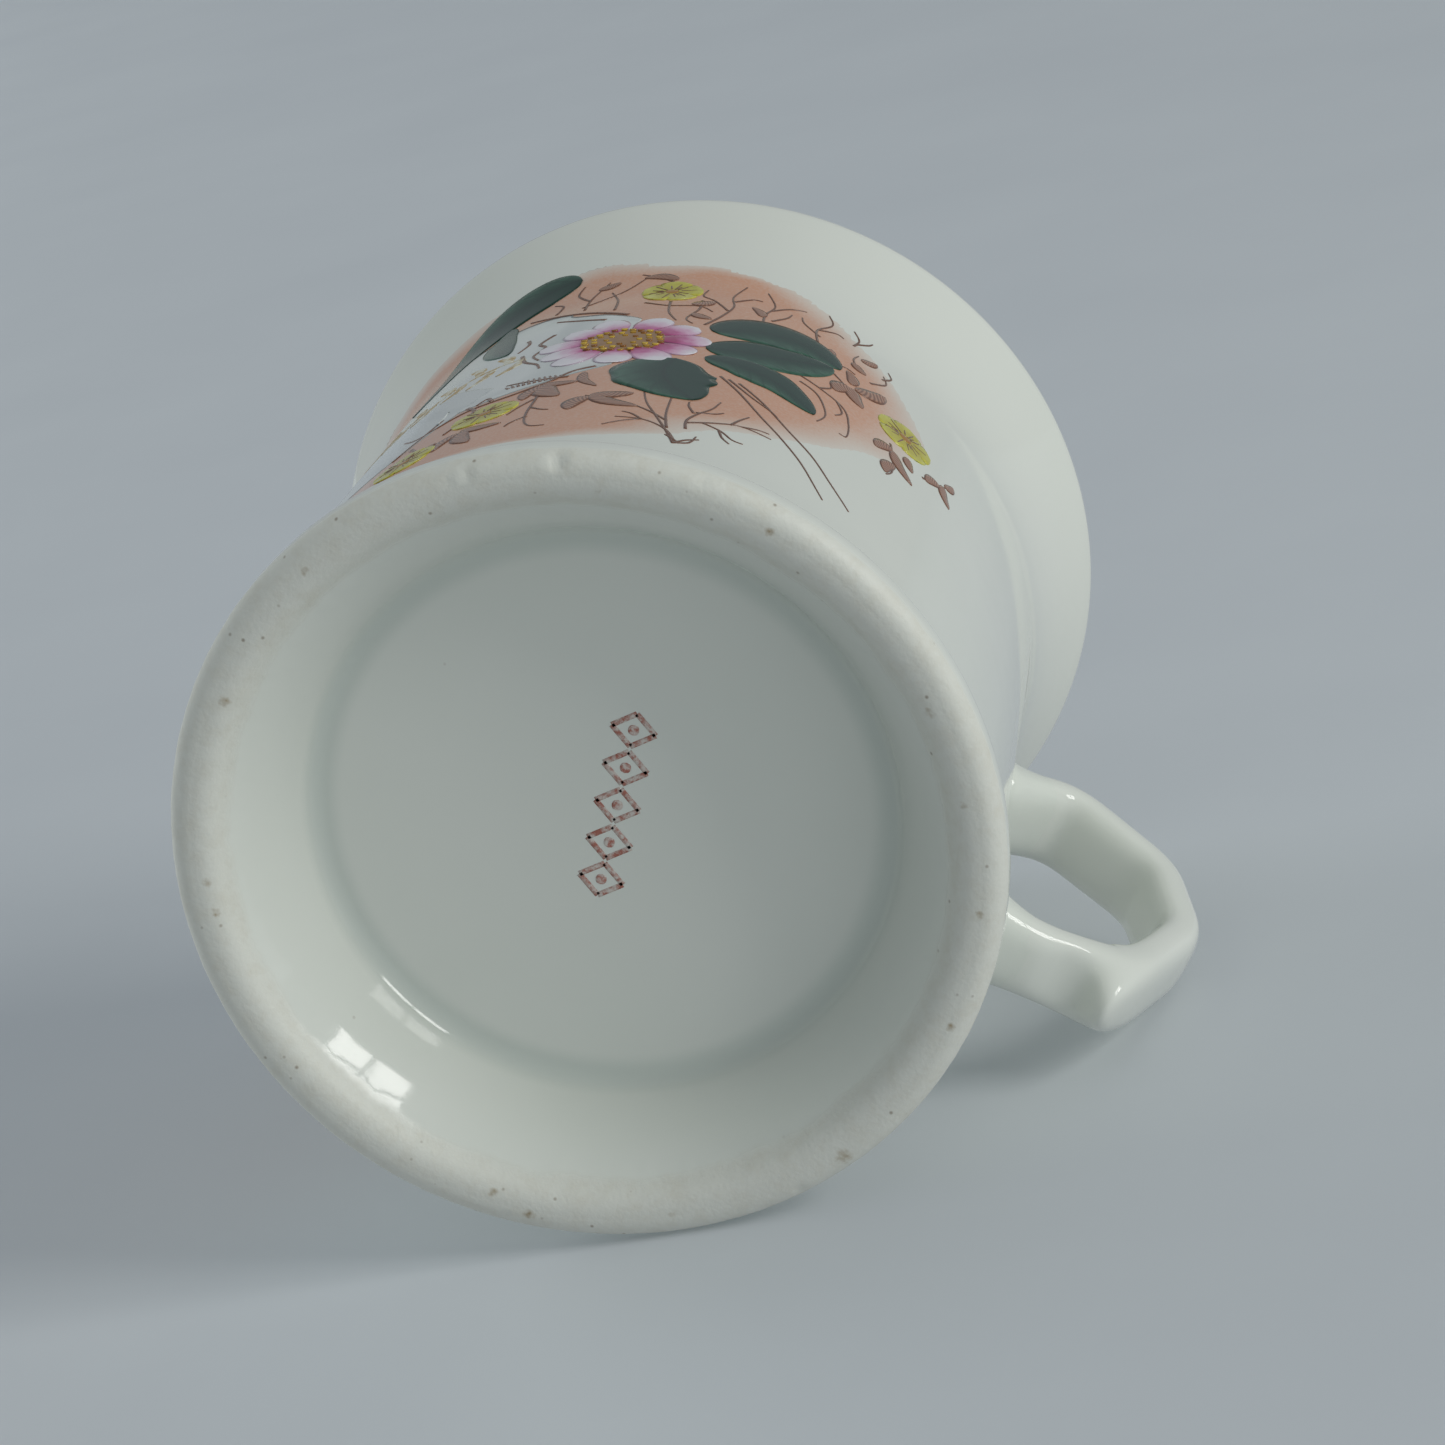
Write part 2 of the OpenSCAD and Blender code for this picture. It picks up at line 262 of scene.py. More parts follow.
section = (
    [Vector((0, RECESS_D))] + straight(Vector((0, RECESS_D)), recess_corner[0], 8) + recess_corner
    + bowed(straight(recess_corner[-1], stand_edge[0], 12), recess_corner[-1], stand_edge[0])
    + stand_edge + straight(stand_edge[-1], foot_side[0], 5)
    + foot_side + foot_roll + foot_cove[1:] + straight(foot_cove[-1], flare_out[0], 12) + flare_out + lip
    + flare_in + straight(flare_in[-1], inside_corner[0], 8) + inside_corner
    + straight(inside_corner[-1], Vector((0, INSIDE_FLOOR_Z)), 8) + [Vector((0, INSIDE_FLOOR_Z))])

bm = bmesh.new()
line = [bm.verts.new((p.x * MM, 0, p.y * MM)) for p in section]
edges = [bm.edges.new(pair) for pair in zip(line, line[1:])]
bmesh.ops.spin(bm, geom=line + edges, axis=(0, 0, 1), cent=(0, 0, 0), angle=2 * math.pi, steps=480,
               use_merge=True)
bmesh.ops.remove_doubles(bm, verts=bm.verts, dist=1e-7)
bmesh.ops.recalc_face_normals(bm, faces=bm.faces)

# Chips on the edge of the foot: angle, radius, width and depth in millimetres
chips = [(-117.6, 42.9, 1.2, 0.35), (-130.2, 42.6, 0.9, 0.2), (-133, 42.4, 0.7, 0.15), (-98, 43.3, 0.7, 0.12),
         (161, 42.9, 0.8, 0.15), (33, 43.0, 0.8, 0.15), (77, 42.6, 0.7, 0.15)]
# Dirt burnt into pits of the bare ring: angle, radius and width in millimetres
spots = [(24.5, 42.2, 1.5), (73.5, 41.8, 1.1), (79.5, 40.4, 0.9), (147.8, 40.2, 0.9), (142.7, 40.0, 0.7),
         (177.7, 40.2, 1.0), (-51.9, 40.2, 1.0), (-87, 41.6, 0.8), (-36.9, 40.2, 0.8), (52, 41.2, 0.7),
         (-2, 41.9, 0.8), (-20, 41.4, 0.6), (118, 40.8, 0.6), (-158, 41.2, 0.7), (-112, 40.1, 0.6)]


def near(v, angle, radius, width):
    """1 at a place on the foot's ring, falling to 0 one width away."""
    a = math.radians(angle)
    away = math.hypot(v.co.x / MM - radius * math.cos(a), v.co.y / MM - radius * math.sin(a))
    return max(0, 1 - away / width)


dirt = bm.verts.layers.float.new("dirt")
for v in bm.verts:
    if v.co.z > 4 * MM or v.co.xy.length < 36 * MM:
        continue
    grain = noise.noise(v.co / (1.5 * MM))
    wear = noise.noise(v.co / (9 * MM))
    v.co += Vector((v.co.x, v.co.y, 0)).normalized() * (0.05 * MM * grain)
    v.co.z += MM * max(0, 0.06 * wear)
    for angle, radius, width, depth in chips:
        bite = near(v, angle, radius, width)
        v.co.z += depth * MM * bite
        v.co.xy *= 1 - depth * bite / 42
    v[dirt] = max(near(v, *spot) * (1.1 + 0.8 * grain) for spot in spots)
cup_mesh = bpy.data.meshes.new("cup")
bm.to_mesh(cup_mesh)
bm.free()


def glazed_porcelain(name, body_tint):
    """Clear glaze over white porcelain, bare and dusty on the ring of the foot.

    The glaze gives a sharp but slightly wavy reflection, and looks a little green where it
    pools; the corner of the recess is darkened with painted shade. Bare porcelain is warmer
    and quite matt, with brown specks in its pores.
    """
    made, tree, shader = new_material(name)
    at = add(tree, "TexCoord").outputs["Object"]
    xyz = add(tree, "SeparateXYZ", {0: at})
    flat = add(tree, "CombineXYZ", {0: xyz.outputs["X"], 1: xyz.outputs["Y"]})
    radius = add(tree, "VectorMath", {0: flat}, operation="LENGTH").outputs["Value"]

    # The glaze line runs from low on the outside to higher on the inner slope, unevenly.
    line_drop = 0.788
    line_high = (3.3 + line_drop * 36.7) * MM
    line = add(tree, "Math", {0: radius, 1: -line_drop, 2: line_high}, operation="MULTIPLY_ADD")
    ragged = add(tree, "TexNoise", {"Vector": at, "Scale": 1 / (5 * MM), "Detail": 3})
    shift = add(tree, "Math", {0: ragged.outputs["Fac"], 1: 0.7 * MM, 2: -0.35 * MM},
                operation="MULTIPLY_ADD")
    inner = add(tree, "Math", {0: line, 1: 8 * MM}, operation="MINIMUM")
    outer = add(tree, "Math", {0: inner, 1: 1.9 * MM}, operation="MAXIMUM")
    edge = add(tree, "Math", {0: outer, 1: shift}, operation="ADD")
    under = add(tree, "Math", {0: edge, 1: xyz.outputs["Z"]}, operation="SUBTRACT")
    bare = add(tree, "MapRange", {0: under, 1: -0.1 * MM, 2: 0.25 * MM}).outputs[0]

    # Glaze pooled in the corner of the recess, a little greener there, with painted shade darkening that
    # corner
    crease_r, crease_z = (RECESS_R - 0.6) * MM, (RECESS_D - 0.5) * MM
    dr = add(tree, "Math", {0: radius, 1: crease_r}, operation="SUBTRACT")
    dz = add(tree, "Math", {0: xyz.outputs["Z"], 1: crease_z}, operation="SUBTRACT")
    away = add(tree, "CombineXYZ", {0: dr, 1: dz})
    reach = add(tree, "VectorMath", {0: away}, operation="LENGTH")
    pooled_glaze_and_shade = add(tree, "MapRange", {0: reach.outputs["Value"], 1: 2.6 * MM, 2: 0.3 * MM, 3: 0.0, 4: 0.4},
                 interpolation_type="SMOOTHSTEP")

    clouds = add(tree, "TexNoise", {"Vector": at, "Scale": 1 / (28 * MM), "Detail": 2})
    glaze = add(tree, "Mix", {0: clouds.outputs["Fac"], 6: srgb(body_tint), 7: srgb("#dee3d9")},
                data_type="RGBA")
    # Painted shade: a darker grey-green mixed into the glaze in the corner of the recess, along with the
    # pooled glaze's tint
    glaze_with_painted_crease_shade = add(tree, "Mix", {0: pooled_glaze_and_shade, 6: glaze.outputs[2], 7: srgb("#b7c5bb")}, data_type="RGBA")

    # Iron specks burnt into the glaze here and there, a third of a millimetre across
    cells = add(tree, "TexVoronoi", {"Vector": at, "Scale": 1 / (7 * MM)})
    chosen = add(tree, "SeparateColor", {0: cells.outputs["Color"]})
    few = add(tree, "Math", {0: chosen, 1: 0.86}, operation="GREATER_THAN")
    dot = add(tree, "MapRange", {0: cells.outputs["Distance"], 1: 0.045, 2: 0.015})
    speck = add(tree, "Math", {0: dot, 1: few}, operation="MULTIPLY")
    faint = add(tree, "Math", {0: speck, 1: 0.5}, operation="MULTIPLY")
    specked = add(tree, "Mix", {0: faint, 6: glaze_with_painted_crease_shade.outputs[2], 7: srgb("#8d7c68")}, data_type="RGBA")

    # Bare ring: a warmer white with dust in its pores
    dust = add(tree, "TexNoise", {"Vector": at, "Scale": 1 / (2.2 * MM), "Detail": 6, "Roughness": 0.7})
    dusty = add(tree, "MapRange", {0: dust.outputs["Fac"], 1: 0.45, 2: 0.8, 3: 0.0, 4: 0.35})
    dry = add(tree, "Mix", {0: dusty, 6: srgb("#dfe1d7"), 7: srgb("#c6bfa9")}, data_type="RGBA")
    pores = add(tree, "TexVoronoi", {"Vector": at, "Scale": 1 / (1.7 * MM)})
    pore_pick = add(tree, "SeparateColor", {0: pores.outputs["Color"]})
    some = add(tree, "Math", {0: pore_pick, 1: 0.8}, operation="GREATER_THAN")
    pit = add(tree, "MapRange", {0: pores.outputs["Distance"], 1: 0.16, 2: 0.05})
    pitted = add(tree, "Math", {0: pit, 1: some}, operation="MULTIPLY")
    soft_pit = add(tree, "Math", {0: pitted, 1: 0.65}, operation="MULTIPLY")
    dry_pits = add(tree, "Mix", {0: soft_pit, 6: dry.outputs[2], 7: srgb("#7d6a52")}, data_type="RGBA")
    burnt = add(tree, "Attribute", attribute_name="dirt")
    crumb = add(tree, "TexNoise", {"Vector": at, "Scale": 1 / (0.6 * MM), "Detail": 3})
    patch = add(tree, "Math", {0: burnt.outputs["Fac"], 1: crumb.outputs["Fac"]}, operation="MULTIPLY")
    patch_in = add(tree, "MapRange", {0: patch, 1: 0.15, 2: 0.6, 3: 0.0, 4: 0.8})
    ring = add(tree, "Mix", {0: patch_in, 6: dry_pits.outputs[2], 7: srgb("#96815a")}, data_type="RGBA")
    colour = add(tree, "Mix", {0: bare, 6: specked.outputs[2], 7: ring.outputs[2]}, data_type="RGBA")
    tree.links.new(colour.outputs[2], shader.inputs["Base Color"])

    gloss = add(tree, "MapRange", {0: bare, 3: 0.07, 4: 0.5})
    tree.links.new(gloss.outputs[0], shader.inputs["Roughness"])
    shader.inputs["IOR"].default_value = 1.5

    # The glaze waves by a few hundredths over a centimetre; the bare ring is finely gritty.
    wave = add(tree, "TexNoise", {"Vector": at, "Scale": 1 / (9 * MM), "Detail": 1})
    grit = add(tree, "TexNoise", {"Vector": at, "Scale": 1 / (0.5 * MM), "Detail": 4})
    wave_h = add(tree, "Math", {0: wave.outputs["Fac"], 1: 0.035 * MM}, operation="MULTIPLY")
    grit_h = add(tree, "Math", {0: grit.outputs["Fac"], 1: 0.05 * MM}, operation="MULTIPLY")
    relief = add(tree, "Mix", {0: bare, 2: wave_h, 3: grit_h}, data_type="FLOAT")
    bump = add(tree, "Bump", {"Height": relief, "Distance": 1.0, "Strength": 1.0})
    tree.links.new(bump.outputs[0], shader.inputs["Normal"])
    return made


porcelain = glazed_porcelain("glazed_porcelain", "#e6e9e1")


def link_piece(name, mesh, material):
    """Puts a finished mesh in the scene with smooth shading."""
    mesh.materials.append(material)
    mesh.polygons.foreach_set("use_smooth", [True] * len(mesh.polygons))
    made = bpy.data.objects.new(name, mesh)
    scene.collection.objects.link(made)
    return made


cup = link_piece("cup", cup_mesh, porcelain)
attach(cup, "root")
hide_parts("body")

# ---- Handle ----
# Cast porcelain loop, an oval strap with two shoulders and a spur at the heel for the
# little finger. It is luted on leather-hard and glazed with the cup.
STRAP_T = 5.2
SPUR, SPUR_REACH = 7.5, 5.0
SPUR_WAY = Vector((-0.35, -0.94))
HOLLOW, HOLLOW_AT, HOLLOW_REACH = 0.9, 7.0, 3.5
HEEL_FILLET, HEEL_FILLET_REACH = 2.4, 8.0
HEEL = Vector((59.6, 30, 9.6))
ROOT_X = WALL_HIGH_R - WALL_T / 2
# Middle line of the loop: distance from the mug's middle, height, and width of the strap there
handle_corners = [(ROOT_X, 61.6, 10.6), (49.4, 67.4, 10), (61.4, 60.2, 9.6), (65.2, 47, 9.2), HEEL,
                  (49.5, 28.2, 8.4), (ROOT_X, 27.6, 10.4)]
CORNER_SHARE = 0.24
CORNER_STEPS = 6
STRAP_SIDES = 24
FLATNESS = 0.68


def handle_line():
    """Middle line of the loop: straight runs with each corner rounded."""
    corners = [Vector(c) for c in handle_corners]
    points = [corners[0]]
    for before, corner, after in zip(corners, corners[1:], corners[2:]):
        start, end = corner.lerp(before, CORNER_SHARE), corner.lerp(after, CORNER_SHARE)
        run = points[-1]
        points += [run.lerp(start, share) for share in (0.35, 0.7)]
        for i in range(CORNER_STEPS + 1):
            t = i / CORNER_STEPS
            points.append(start.lerp(corner, t).lerp(corner.lerp(end, t), t))
    points.append(points[-1].lerp(corners[-1], 0.5))
    points.append(corners[-1])
    return points


def ridge(p):
    """Height of the spur on the strap's outer face, and the hollow beside it on the lower arm."""
    away = (p - HEEL).xy.length
    hollow = HOLLOW * max(0, 1 - abs(away - HOLLOW_AT) / HOLLOW_REACH) if p.x < HEEL.x - 2 else 0
    inside = HEEL_FILLET * max(0, 1 - away / HEEL_FILLET_REACH) ** 2
    return SPUR * max(0, 1 - away / SPUR_REACH) ** 1.5, hollow, inside


def strap_ring(line, i, grow, fillet=0.0):
    """Flattened oval across the strap, with the spur outside and a fillet inside the loop."""
    before, after = line[max(i - 1, 0)], line[min(i + 1, len(line) - 1)]
    run = (after - before).xy.normalized()
    out = Vector((-run.y, run.x))
    spur, hollow, inside = ridge(line[i])
    ring = []
    for s in range(STRAP_SIDES):
        c, w = math.cos(2 * math.pi * s / STRAP_SIDES), math.sin(2 * math.pi * s / STRAP_SIDES)
        thick = (STRAP_T / 2 + grow) * math.copysign(abs(c) ** FLATNESS, c)
        thick -= max(c, 0) ** 2 * hollow + max(-c, 0) * (fillet + inside)
        wide = (line[i].z / 2 + grow) * math.copysign(abs(w) ** FLATNESS, w)
        at = line[i].xy + out * thick + SPUR_WAY * (max(c, 0) ** 3 * spur)
        ring.append(Vector((at.x, wide, at.y)) * MM)
    return ring


def loft(bm, rings, closed=False):
    """Draws the first ring, extrudes it from ring to ring, and joins the last to the first if closed."""
    first = bmesh.ops.create_circle(bm, segments=len(rings[0]), radius=MM, cap_ends=False)["verts"]
    edges = [e for e in bm.edges if e.verts[0] in first and e.verts[1] in first]
    for v, p in zip(first, rings[0]):
        v.co = p
    start_edges, last = edges, first
    for ring in rings[1:]:
        grown = bmesh.ops.extrude_edge_only(bm, edges=edges)["geom"]
        edges = [g for g in grown if isinstance(g, bmesh.types.BMEdge)]
        fresh = [g for g in grown if isinstance(g, bmesh.types.BMVert)]
        partner = {v: e.other_vert(v) for v in fresh for e in v.link_edges if e.other_vert(v) in last}
        at = {old: i for i, old in enumerate(last)}
        fresh.sort(key=lambda v: at[partner[v]])
        for v, p in zip(fresh, ring):
            v.co = p
        last = fresh
    if closed:
        bmesh.ops.bridge_loops(bm, edges=edges + start_edges)
    else:
        bmesh.ops.holes_fill(bm, edges=edges + start_edges, sides=0)
    bmesh.ops.recalc_face_normals(bm, faces=bm.faces)


loop_line = handle_line()
bm = bmesh.new()
loft(bm, [strap_ring(loop_line, i, 0) for i in range(len(loop_line))])
handle_mesh = bpy.data.meshes.new("loop_handle")
bm.to_mesh(handle_mesh)
bm.free()
handle = link_piece("loop_handle", handle_mesh, porcelain)
smooth = handle.modifiers.new("rounding", "SUBSURF")
smooth.levels = smooth.render_levels = 2
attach(handle, "root")
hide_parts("handle")

# ---- Slip joints ----
# Liquid porcelain squeezed out round each root of the handle and wiped to a cove with a
# finger. It fires into the same body, under the same glaze, a shade greener where thick.
SLIP_REACH = 7
SLIP_THICK = 0.8
SLIP_STEPS = 9
slip_porcelain = glazed_porcelain("glazed_slip", "#e2e7de")


def slip_collar(name, node, root, run_to, turned, fillet):
    """Coved collar round the strap from its root in the wall, with a deeper fillet inside the loop."""
    along = (run_to - root) / (run_to - root).xy.length
    meet = root + along * ((wall_r(root.y) - root.x) / along.x)
    steps = [0, 0] + [SLIP_REACH * i / SLIP_STEPS for i in range(SLIP_STEPS + 1)]
    centre = [meet + along * step for step in steps]
    centre[0] = meet - Vector((1.4, 0, 0))
    centre[1] = meet - Vector((0.7, 0, 0))
    if turned:
        centre.reverse()
        steps.reverse()
    outer = []
    for i, step in enumerate(steps):
        left = 1 - step / SLIP_REACH
        outer.append(strap_ring(centre, i, SLIP_THICK * left ** 2.4 - 0.02, fillet * left ** 1.7))
    sunk = [strap_ring(centre, len(centre) - 1, -0.5), strap_ring(centre, 0, -0.5)]
    bm = bmesh.new()
    loft(bm, outer + sunk, closed=True)
    mesh = bpy.data.meshes.new(name)
    bm.to_mesh(mesh)
    bm.free()
    collar = link_piece(name, mesh, slip_porcelain)
    smooth = collar.modifiers.new("wiping", "SUBSURF")
    smooth.levels = smooth.render_levels = 2
    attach(collar, "root")
    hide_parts(node)


slip_collar("upper_slip_collar", "upper_slip_joint", loop_line[0], loop_line[1], False, 1.2)
slip_collar("lower_slip_collar", "lower_slip_joint", loop_line[-1], loop_line[-2], True, 4.2)

# ---- Peach ground ----
# Thin peach enamel, dusted on through a soft stencil and fired over the glaze. Its edge
# fades into the white.
WRAP_R = 41.2
# The skin lies just over the glaze where there is powder, and dives under it where there is none.
LIFT_GROUND, GROUND_SUNK = 0.012, -0.03
FIRED_T = 0.1
ground_low, ground_high = (c.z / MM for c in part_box("peach_ground"))
GROUND_MID = 118
# Where the fade reaches half strength: height, and distance round the wall from the middle
ground_edge = [(10, 30), (15, 40), (20, 44), (25, 50), (30, 54), (35, 58), (42, 63), (50, 66), (60, 63.5),
               (70, 56.5), (78, 46), (82, 30)]


def on_wall(along, z, lift):
    """Point on the wall: distance round it from the handle, height, and lift off the glaze, in mm."""
    angle = -along / WRAP_R
    r = wall_r(z) + lift
    return Vector((r * math.cos(angle), r * math.sin(angle), z)) * MM


def between(table, x):
    """Value of a short table at x, straight between its entries."""
    for (x0, y0), (x1, y1) in zip(table, table[1:]):
        if x <= x1:
            return y0 + (y1 - y0) * max(0, (x - x0) / (x1 - x0))
    return table[-1][1]


def ground_density(along, z):
    """How thick the peach lies: 1 well inside, 0 outside, with a wavering soft edge."""
    waver = 1.6 * noise.noise(Vector((along, z, 0)) / 9)
    side = between(ground_edge, z) + waver - abs(along - GROUND_MID)
    side_fade = min(1, max(0, 0.5 + side / 9))
    top_fade = min(1, max(0, 0.5 + (ground_high - 1.5 + waver - z) / 5))
    foot_fade = min(1, max(0, 0.5 + (z - ground_low - 0.3) / 1.2))
    return side_fade * top_fade * foot_fade


def wrapped_piece(name, bm, material, node):
    """Turns flat work on the wall into a fired skin with a thickness, fixed to the cup."""
    bmesh.ops.remove_doubles(bm, verts=bm.verts, dist=1e-8)
    mesh = bpy.data.meshes.new(name)
    bm.to_mesh(mesh)
    bm.free()
    made = link_piece(name, mesh, material)
    skin = made.modifiers.new("fired_skin", "SOLIDIFY")
    skin.thickness = FIRED_T * MM
    skin.offset = -1
    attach(made, "root")
    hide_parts(node)
    return made


bm = bmesh.new()
ground_half = 72
powder_laid = bm.verts.layers.float.new("powder")
sheet = bmesh.ops.create_grid(bm, x_segments=2 * ground_half, y_segments=75, size=0.5)["verts"]
for v in sheet:
    along = GROUND_MID - 2 * v.co.x * ground_half
    z = ground_low - 0.5 + (v.co.y + 0.5) * (ground_high + 1.5 - ground_low)
    v[powder_laid] = ground_density(along, z)
    v.co = on_wall(along, z, GROUND_SUNK + (LIFT_GROUND - GROUND_SUNK) * min(1, 3 * v[powder_laid]))

# Peach enamel fires glossy and slightly grainy, as dusted powder does.
peach_enamel, tree, shader = new_material("dusted_peach_enamel")
at = add(tree, "TexCoord").outputs["Object"]
laid = add(tree, "Attribute", attribute_name="powder")
powder = add(tree, "TexNoise", {"Vector": at, "Scale": 1 / (0.35 * MM), "Detail": 2})
drift = add(tree, "TexNoise", {"Vector": at, "Scale": 1 / (14 * MM), "Detail": 2})
warm = add(tree, "Mix", {0: drift.outputs["Fac"], 6: srgb("#cf9778"), 7: srgb("#d9a98c")}, data_type="RGBA")
grains = add(tree, "MapRange", {0: powder.outputs["Fac"], 1: 0.3, 2: 0.7, 3: 0.86, 4: 1.06})
cover = add(tree, "Math", {0: laid.outputs["Fac"], 1: grains}, operation="MULTIPLY", use_clamp=True)
peach = add(tree, "Mix", {0: cover, 6: srgb("#e2e6dd"), 7: warm.outputs[2]}, data_type="RGBA")
tree.links.new(peach.outputs[2], shader.inputs["Base Color"])
shader.inputs["Roughness"].default_value = 0.12
wrapped_piece("peach_ground_skin", bm, peach_enamel, "peach_ground")

# ---- Ribbon scroll ----
# A broad white ribbon printed across the ground, with grey shading and hatched folds,
# where the owner's name would be gilded. Opaque white enamel.
LIFT_RIBBON = 0.035


def smooth_path(points, s):
    """Point at s, from 0 to 1, on a smooth curve through the given points."""
    last = len(points) - 1
    i = min(int(s * last), last - 1)
    t = s * last - i
    p0, p1, p2, p3 = (Vector(points[min(max(k, 0), last)]) for k in (i - 1, i, i + 1, i + 2))
    return 0.5 * (2 * p1 + (p2 - p0) * t + (2 * p0 - 5 * p1 + 4 * p2 - p3) * t ** 2
                  + (3 * p1 - p0 - 3 * p2 + p3) * t ** 3)


def brush(bm, path, width, lift, long_steps=10, cross_steps=2, dome=0.0, shade=0.0, put=on_wall):
    """Lays one brush stroke along a path. width(s) is its width in mm from start to end.

    Each vertex keeps how far along and across the stroke it is, and the stroke's own shade.
    """
    lie = bm.verts.layers.float_vector.get("lie") or bm.verts.layers.float_vector.new("lie")
    laid = bmesh.ops.create_grid(bm, x_segments=long_steps, y_segments=cross_steps, size=0.5)["verts"]
    for v in laid:
        s, t = v.co.x + 0.5, -2 * v.co.y
        run = smooth_path(path, min(1, s + 0.01)) - smooth_path(path, max(0, s - 0.01))
        side = Vector((-run.y, run.x)).normalized()
        spot = smooth_path(path, s).xy + side * (t * width(s) / 2)
        v[lie] = (s, t, shade)
        v.co = put(spot.x, spot.y, lift + dome * (1 - t * t) - (0.012 if abs(t) > 0.99 else 0))


# Stretches of the ribbon, along the middle of each: distance round the wall, height and width.
# The last one is folded over and shows the ribbon's back, in grey.
main_band = [(86, 50, 20), (91, 50, 28), (97, 50, 34), (104, 51, 39), (112, 50, 36), (122, 47, 32),
             (134, 45, 28), (146, 47, 25), (156, 52, 20), (164, 59, 12), (169, 65, 3)]
front_tail = [(103, 44, 12), (109, 39, 19), (115, 32, 21), (121, 24, 18), (126, 17, 11), (128, 13, 2)]
back_fold = [(168, 63, 3), (162, 66, 9), (154, 66, 11), (146, 67, 8), (140, 70, 2)]
bm = bmesh.new()
for number, band in enumerate([main_band, front_tail, back_fold]):
    centre_line = [(x, z) for x, z, w in band]
    widths = [(i / (len(band) - 1), w) for i, (x, z, w) in enumerate(band)]
    brush(bm, centre_line, lambda s: between(widths, s), LIFT_RIBBON + 0.006 * number,
          long_steps=110, cross_steps=40, shade=number)

white_enamel, tree, shader = new_material("printed_white_enamel")
# Opaque white with grey printed shading along both edges and across the folds.
lie = add(tree, "Attribute", attribute_name="lie")
stretch = add(tree, "SeparateXYZ", {0: lie.outputs["Vector"]})
out = add(tree, "Math", {0: stretch.outputs["Y"]}, operation="ABSOLUTE")
rim = add(tree, "MapRange", {0: out, 1: 0.72, 2: 1.0, 3: 0.0, 4: 0.55})
outline = add(tree, "Math", {0: out, 1: 0.972}, operation="GREATER_THAN")
at = add(tree, "TexCoord").outputs["Object"]
blotch = add(tree, "TexNoise", {"Vector": at, "Scale": 1 / (4 * MM), "Detail": 3})
broken = add(tree, "MapRange", {0: blotch.outputs["Fac"], 1: 0.35, 2: 0.65})
rim_shade = add(tree, "Math", {0: rim, 1: broken}, operation="MULTIPLY")
fold = add(tree, "TexWave", {"Vector": lie.outputs["Vector"], "Scale": 1.1, "Distortion": 1.5, "Detail": 2})
fold_shade = add(tree, "MapRange", {0: fold.outputs["Fac"], 1: 0.62, 2: 1.0, 3: 0.0, 4: 0.3})
greys = add(tree, "Math", {0: rim_shade, 1: fold_shade}, operation="MAXIMUM")
line_grey = add(tree, "Math", {0: outline, 1: 0.8}, operation="MULTIPLY")
printed = add(tree, "Math", {0: greys, 1: line_grey}, operation="MAXIMUM")
back_side = add(tree, "MapRange", {0: stretch.outputs["Z"], 1: 0.5, 2: 1.5, 3: 0.0, 4: 0.35})
grey = add(tree, "Math", {0: printed, 1: back_side}, operation="MAXIMUM")
shaded = add(tree, "Mix", {0: grey, 6: srgb("#dfe4e1"), 7: srgb("#8f9a9b")}, data_type="RGBA")
tree.links.new(shaded.outputs[2], shader.inputs["Base Color"])
shader.inputs["Roughness"].default_value = 0.12
wrapped_piece("ribbon_scroll_skin", bm, white_enamel, "ribbon_scroll")

# ---- Gilding ----
# Liquid gold brushed on the ribbon and fired soft. Use has rubbed it thin and pale. It
# is a plain garland: a wavy stem with small leaves above and below.
LIFT_GILT = 0.062
GARLAND_FROM, GARLAND_TO, GARLAND_LEAVES = 98, 156, 15
GARLAND_STEM_W, GARLAND_LEAF_W, GARLAND_LEAF_L = 0.55, 1.6, 4.6
bm = bmesh.new()


def garland(along):
    """Height of the wavy gold stem at a distance round the wall."""
    return 50.5 - 0.06 * (along - GARLAND_FROM) + 1.3 * math.sin((along - GARLAND_FROM) / 4.2)


garland_points = [(x, garland(x)) for x in range(GARLAND_FROM, GARLAND_TO + 1, 2)]
brush(bm, garland_points, lambda s: GARLAND_STEM_W, LIFT_GILT, long_steps=120, cross_steps=2, dome=0.02,
      shade=0.2)
for i in range(GARLAND_LEAVES):
    x = GARLAND_FROM + (GARLAND_TO - GARLAND_FROM) * (i + 0.3) / GARLAND_LEAVES
    for side in (-1, 1):
        base = Vector((x + side, garland(x + side)))
        tip = base + Vector((2.4, side * (GARLAND_LEAF_L + 0.8 * math.sin(2.1 * i))))
        bow = base.lerp(tip, 0.5) + Vector((-0.7, side * 0.3))
        brush(bm, [base, bow, tip], lambda s: GARLAND_LEAF_W * math.sin(math.pi * s ** 0.8) ** 0.8, LIFT_GILT,
              long_steps=12, cross_steps=4, dome=0.02, shade=0.5)

gilding, tree, shader = new_material("rubbed_gilding")
# Matt, pale gold, worn through to the white in patches.
at = add(tree, "TexCoord").outputs["Object"]
rub = add(tree, "TexNoise", {"Vector": at, "Scale": 1 / (1.6 * MM), "Detail": 4, "Roughness": 0.7})
left = add(tree, "MapRange", {0: rub.outputs["Fac"], 1: 0.42, 2: 0.58})
worn = add(tree, "Mix", {0: left, 6: srgb("#dcdcca"), 7: srgb("#d9b878")}, data_type="RGBA")
tree.links.new(worn.outputs[2], shader.inputs["Base Color"])
metal = add(tree, "Math", {0: left, 1: 0.75}, operation="MULTIPLY")
tree.links.new(metal.outputs[0], shader.inputs["Metallic"])
shader.inputs["Roughness"].default_value = 0.34
wrapped_piece("gilt_garland", bm, gilding, "gilt_flourish")

# ---- Printed sprigs ----
# Fine brown sprigs, printed from an engraved plate and fired. Stems are thin lines with
# small side shoots, and leaves are hatched ovals.
LIFT_PRINT = 0.07
STEM_W = 0.3
bm = bmesh.new()


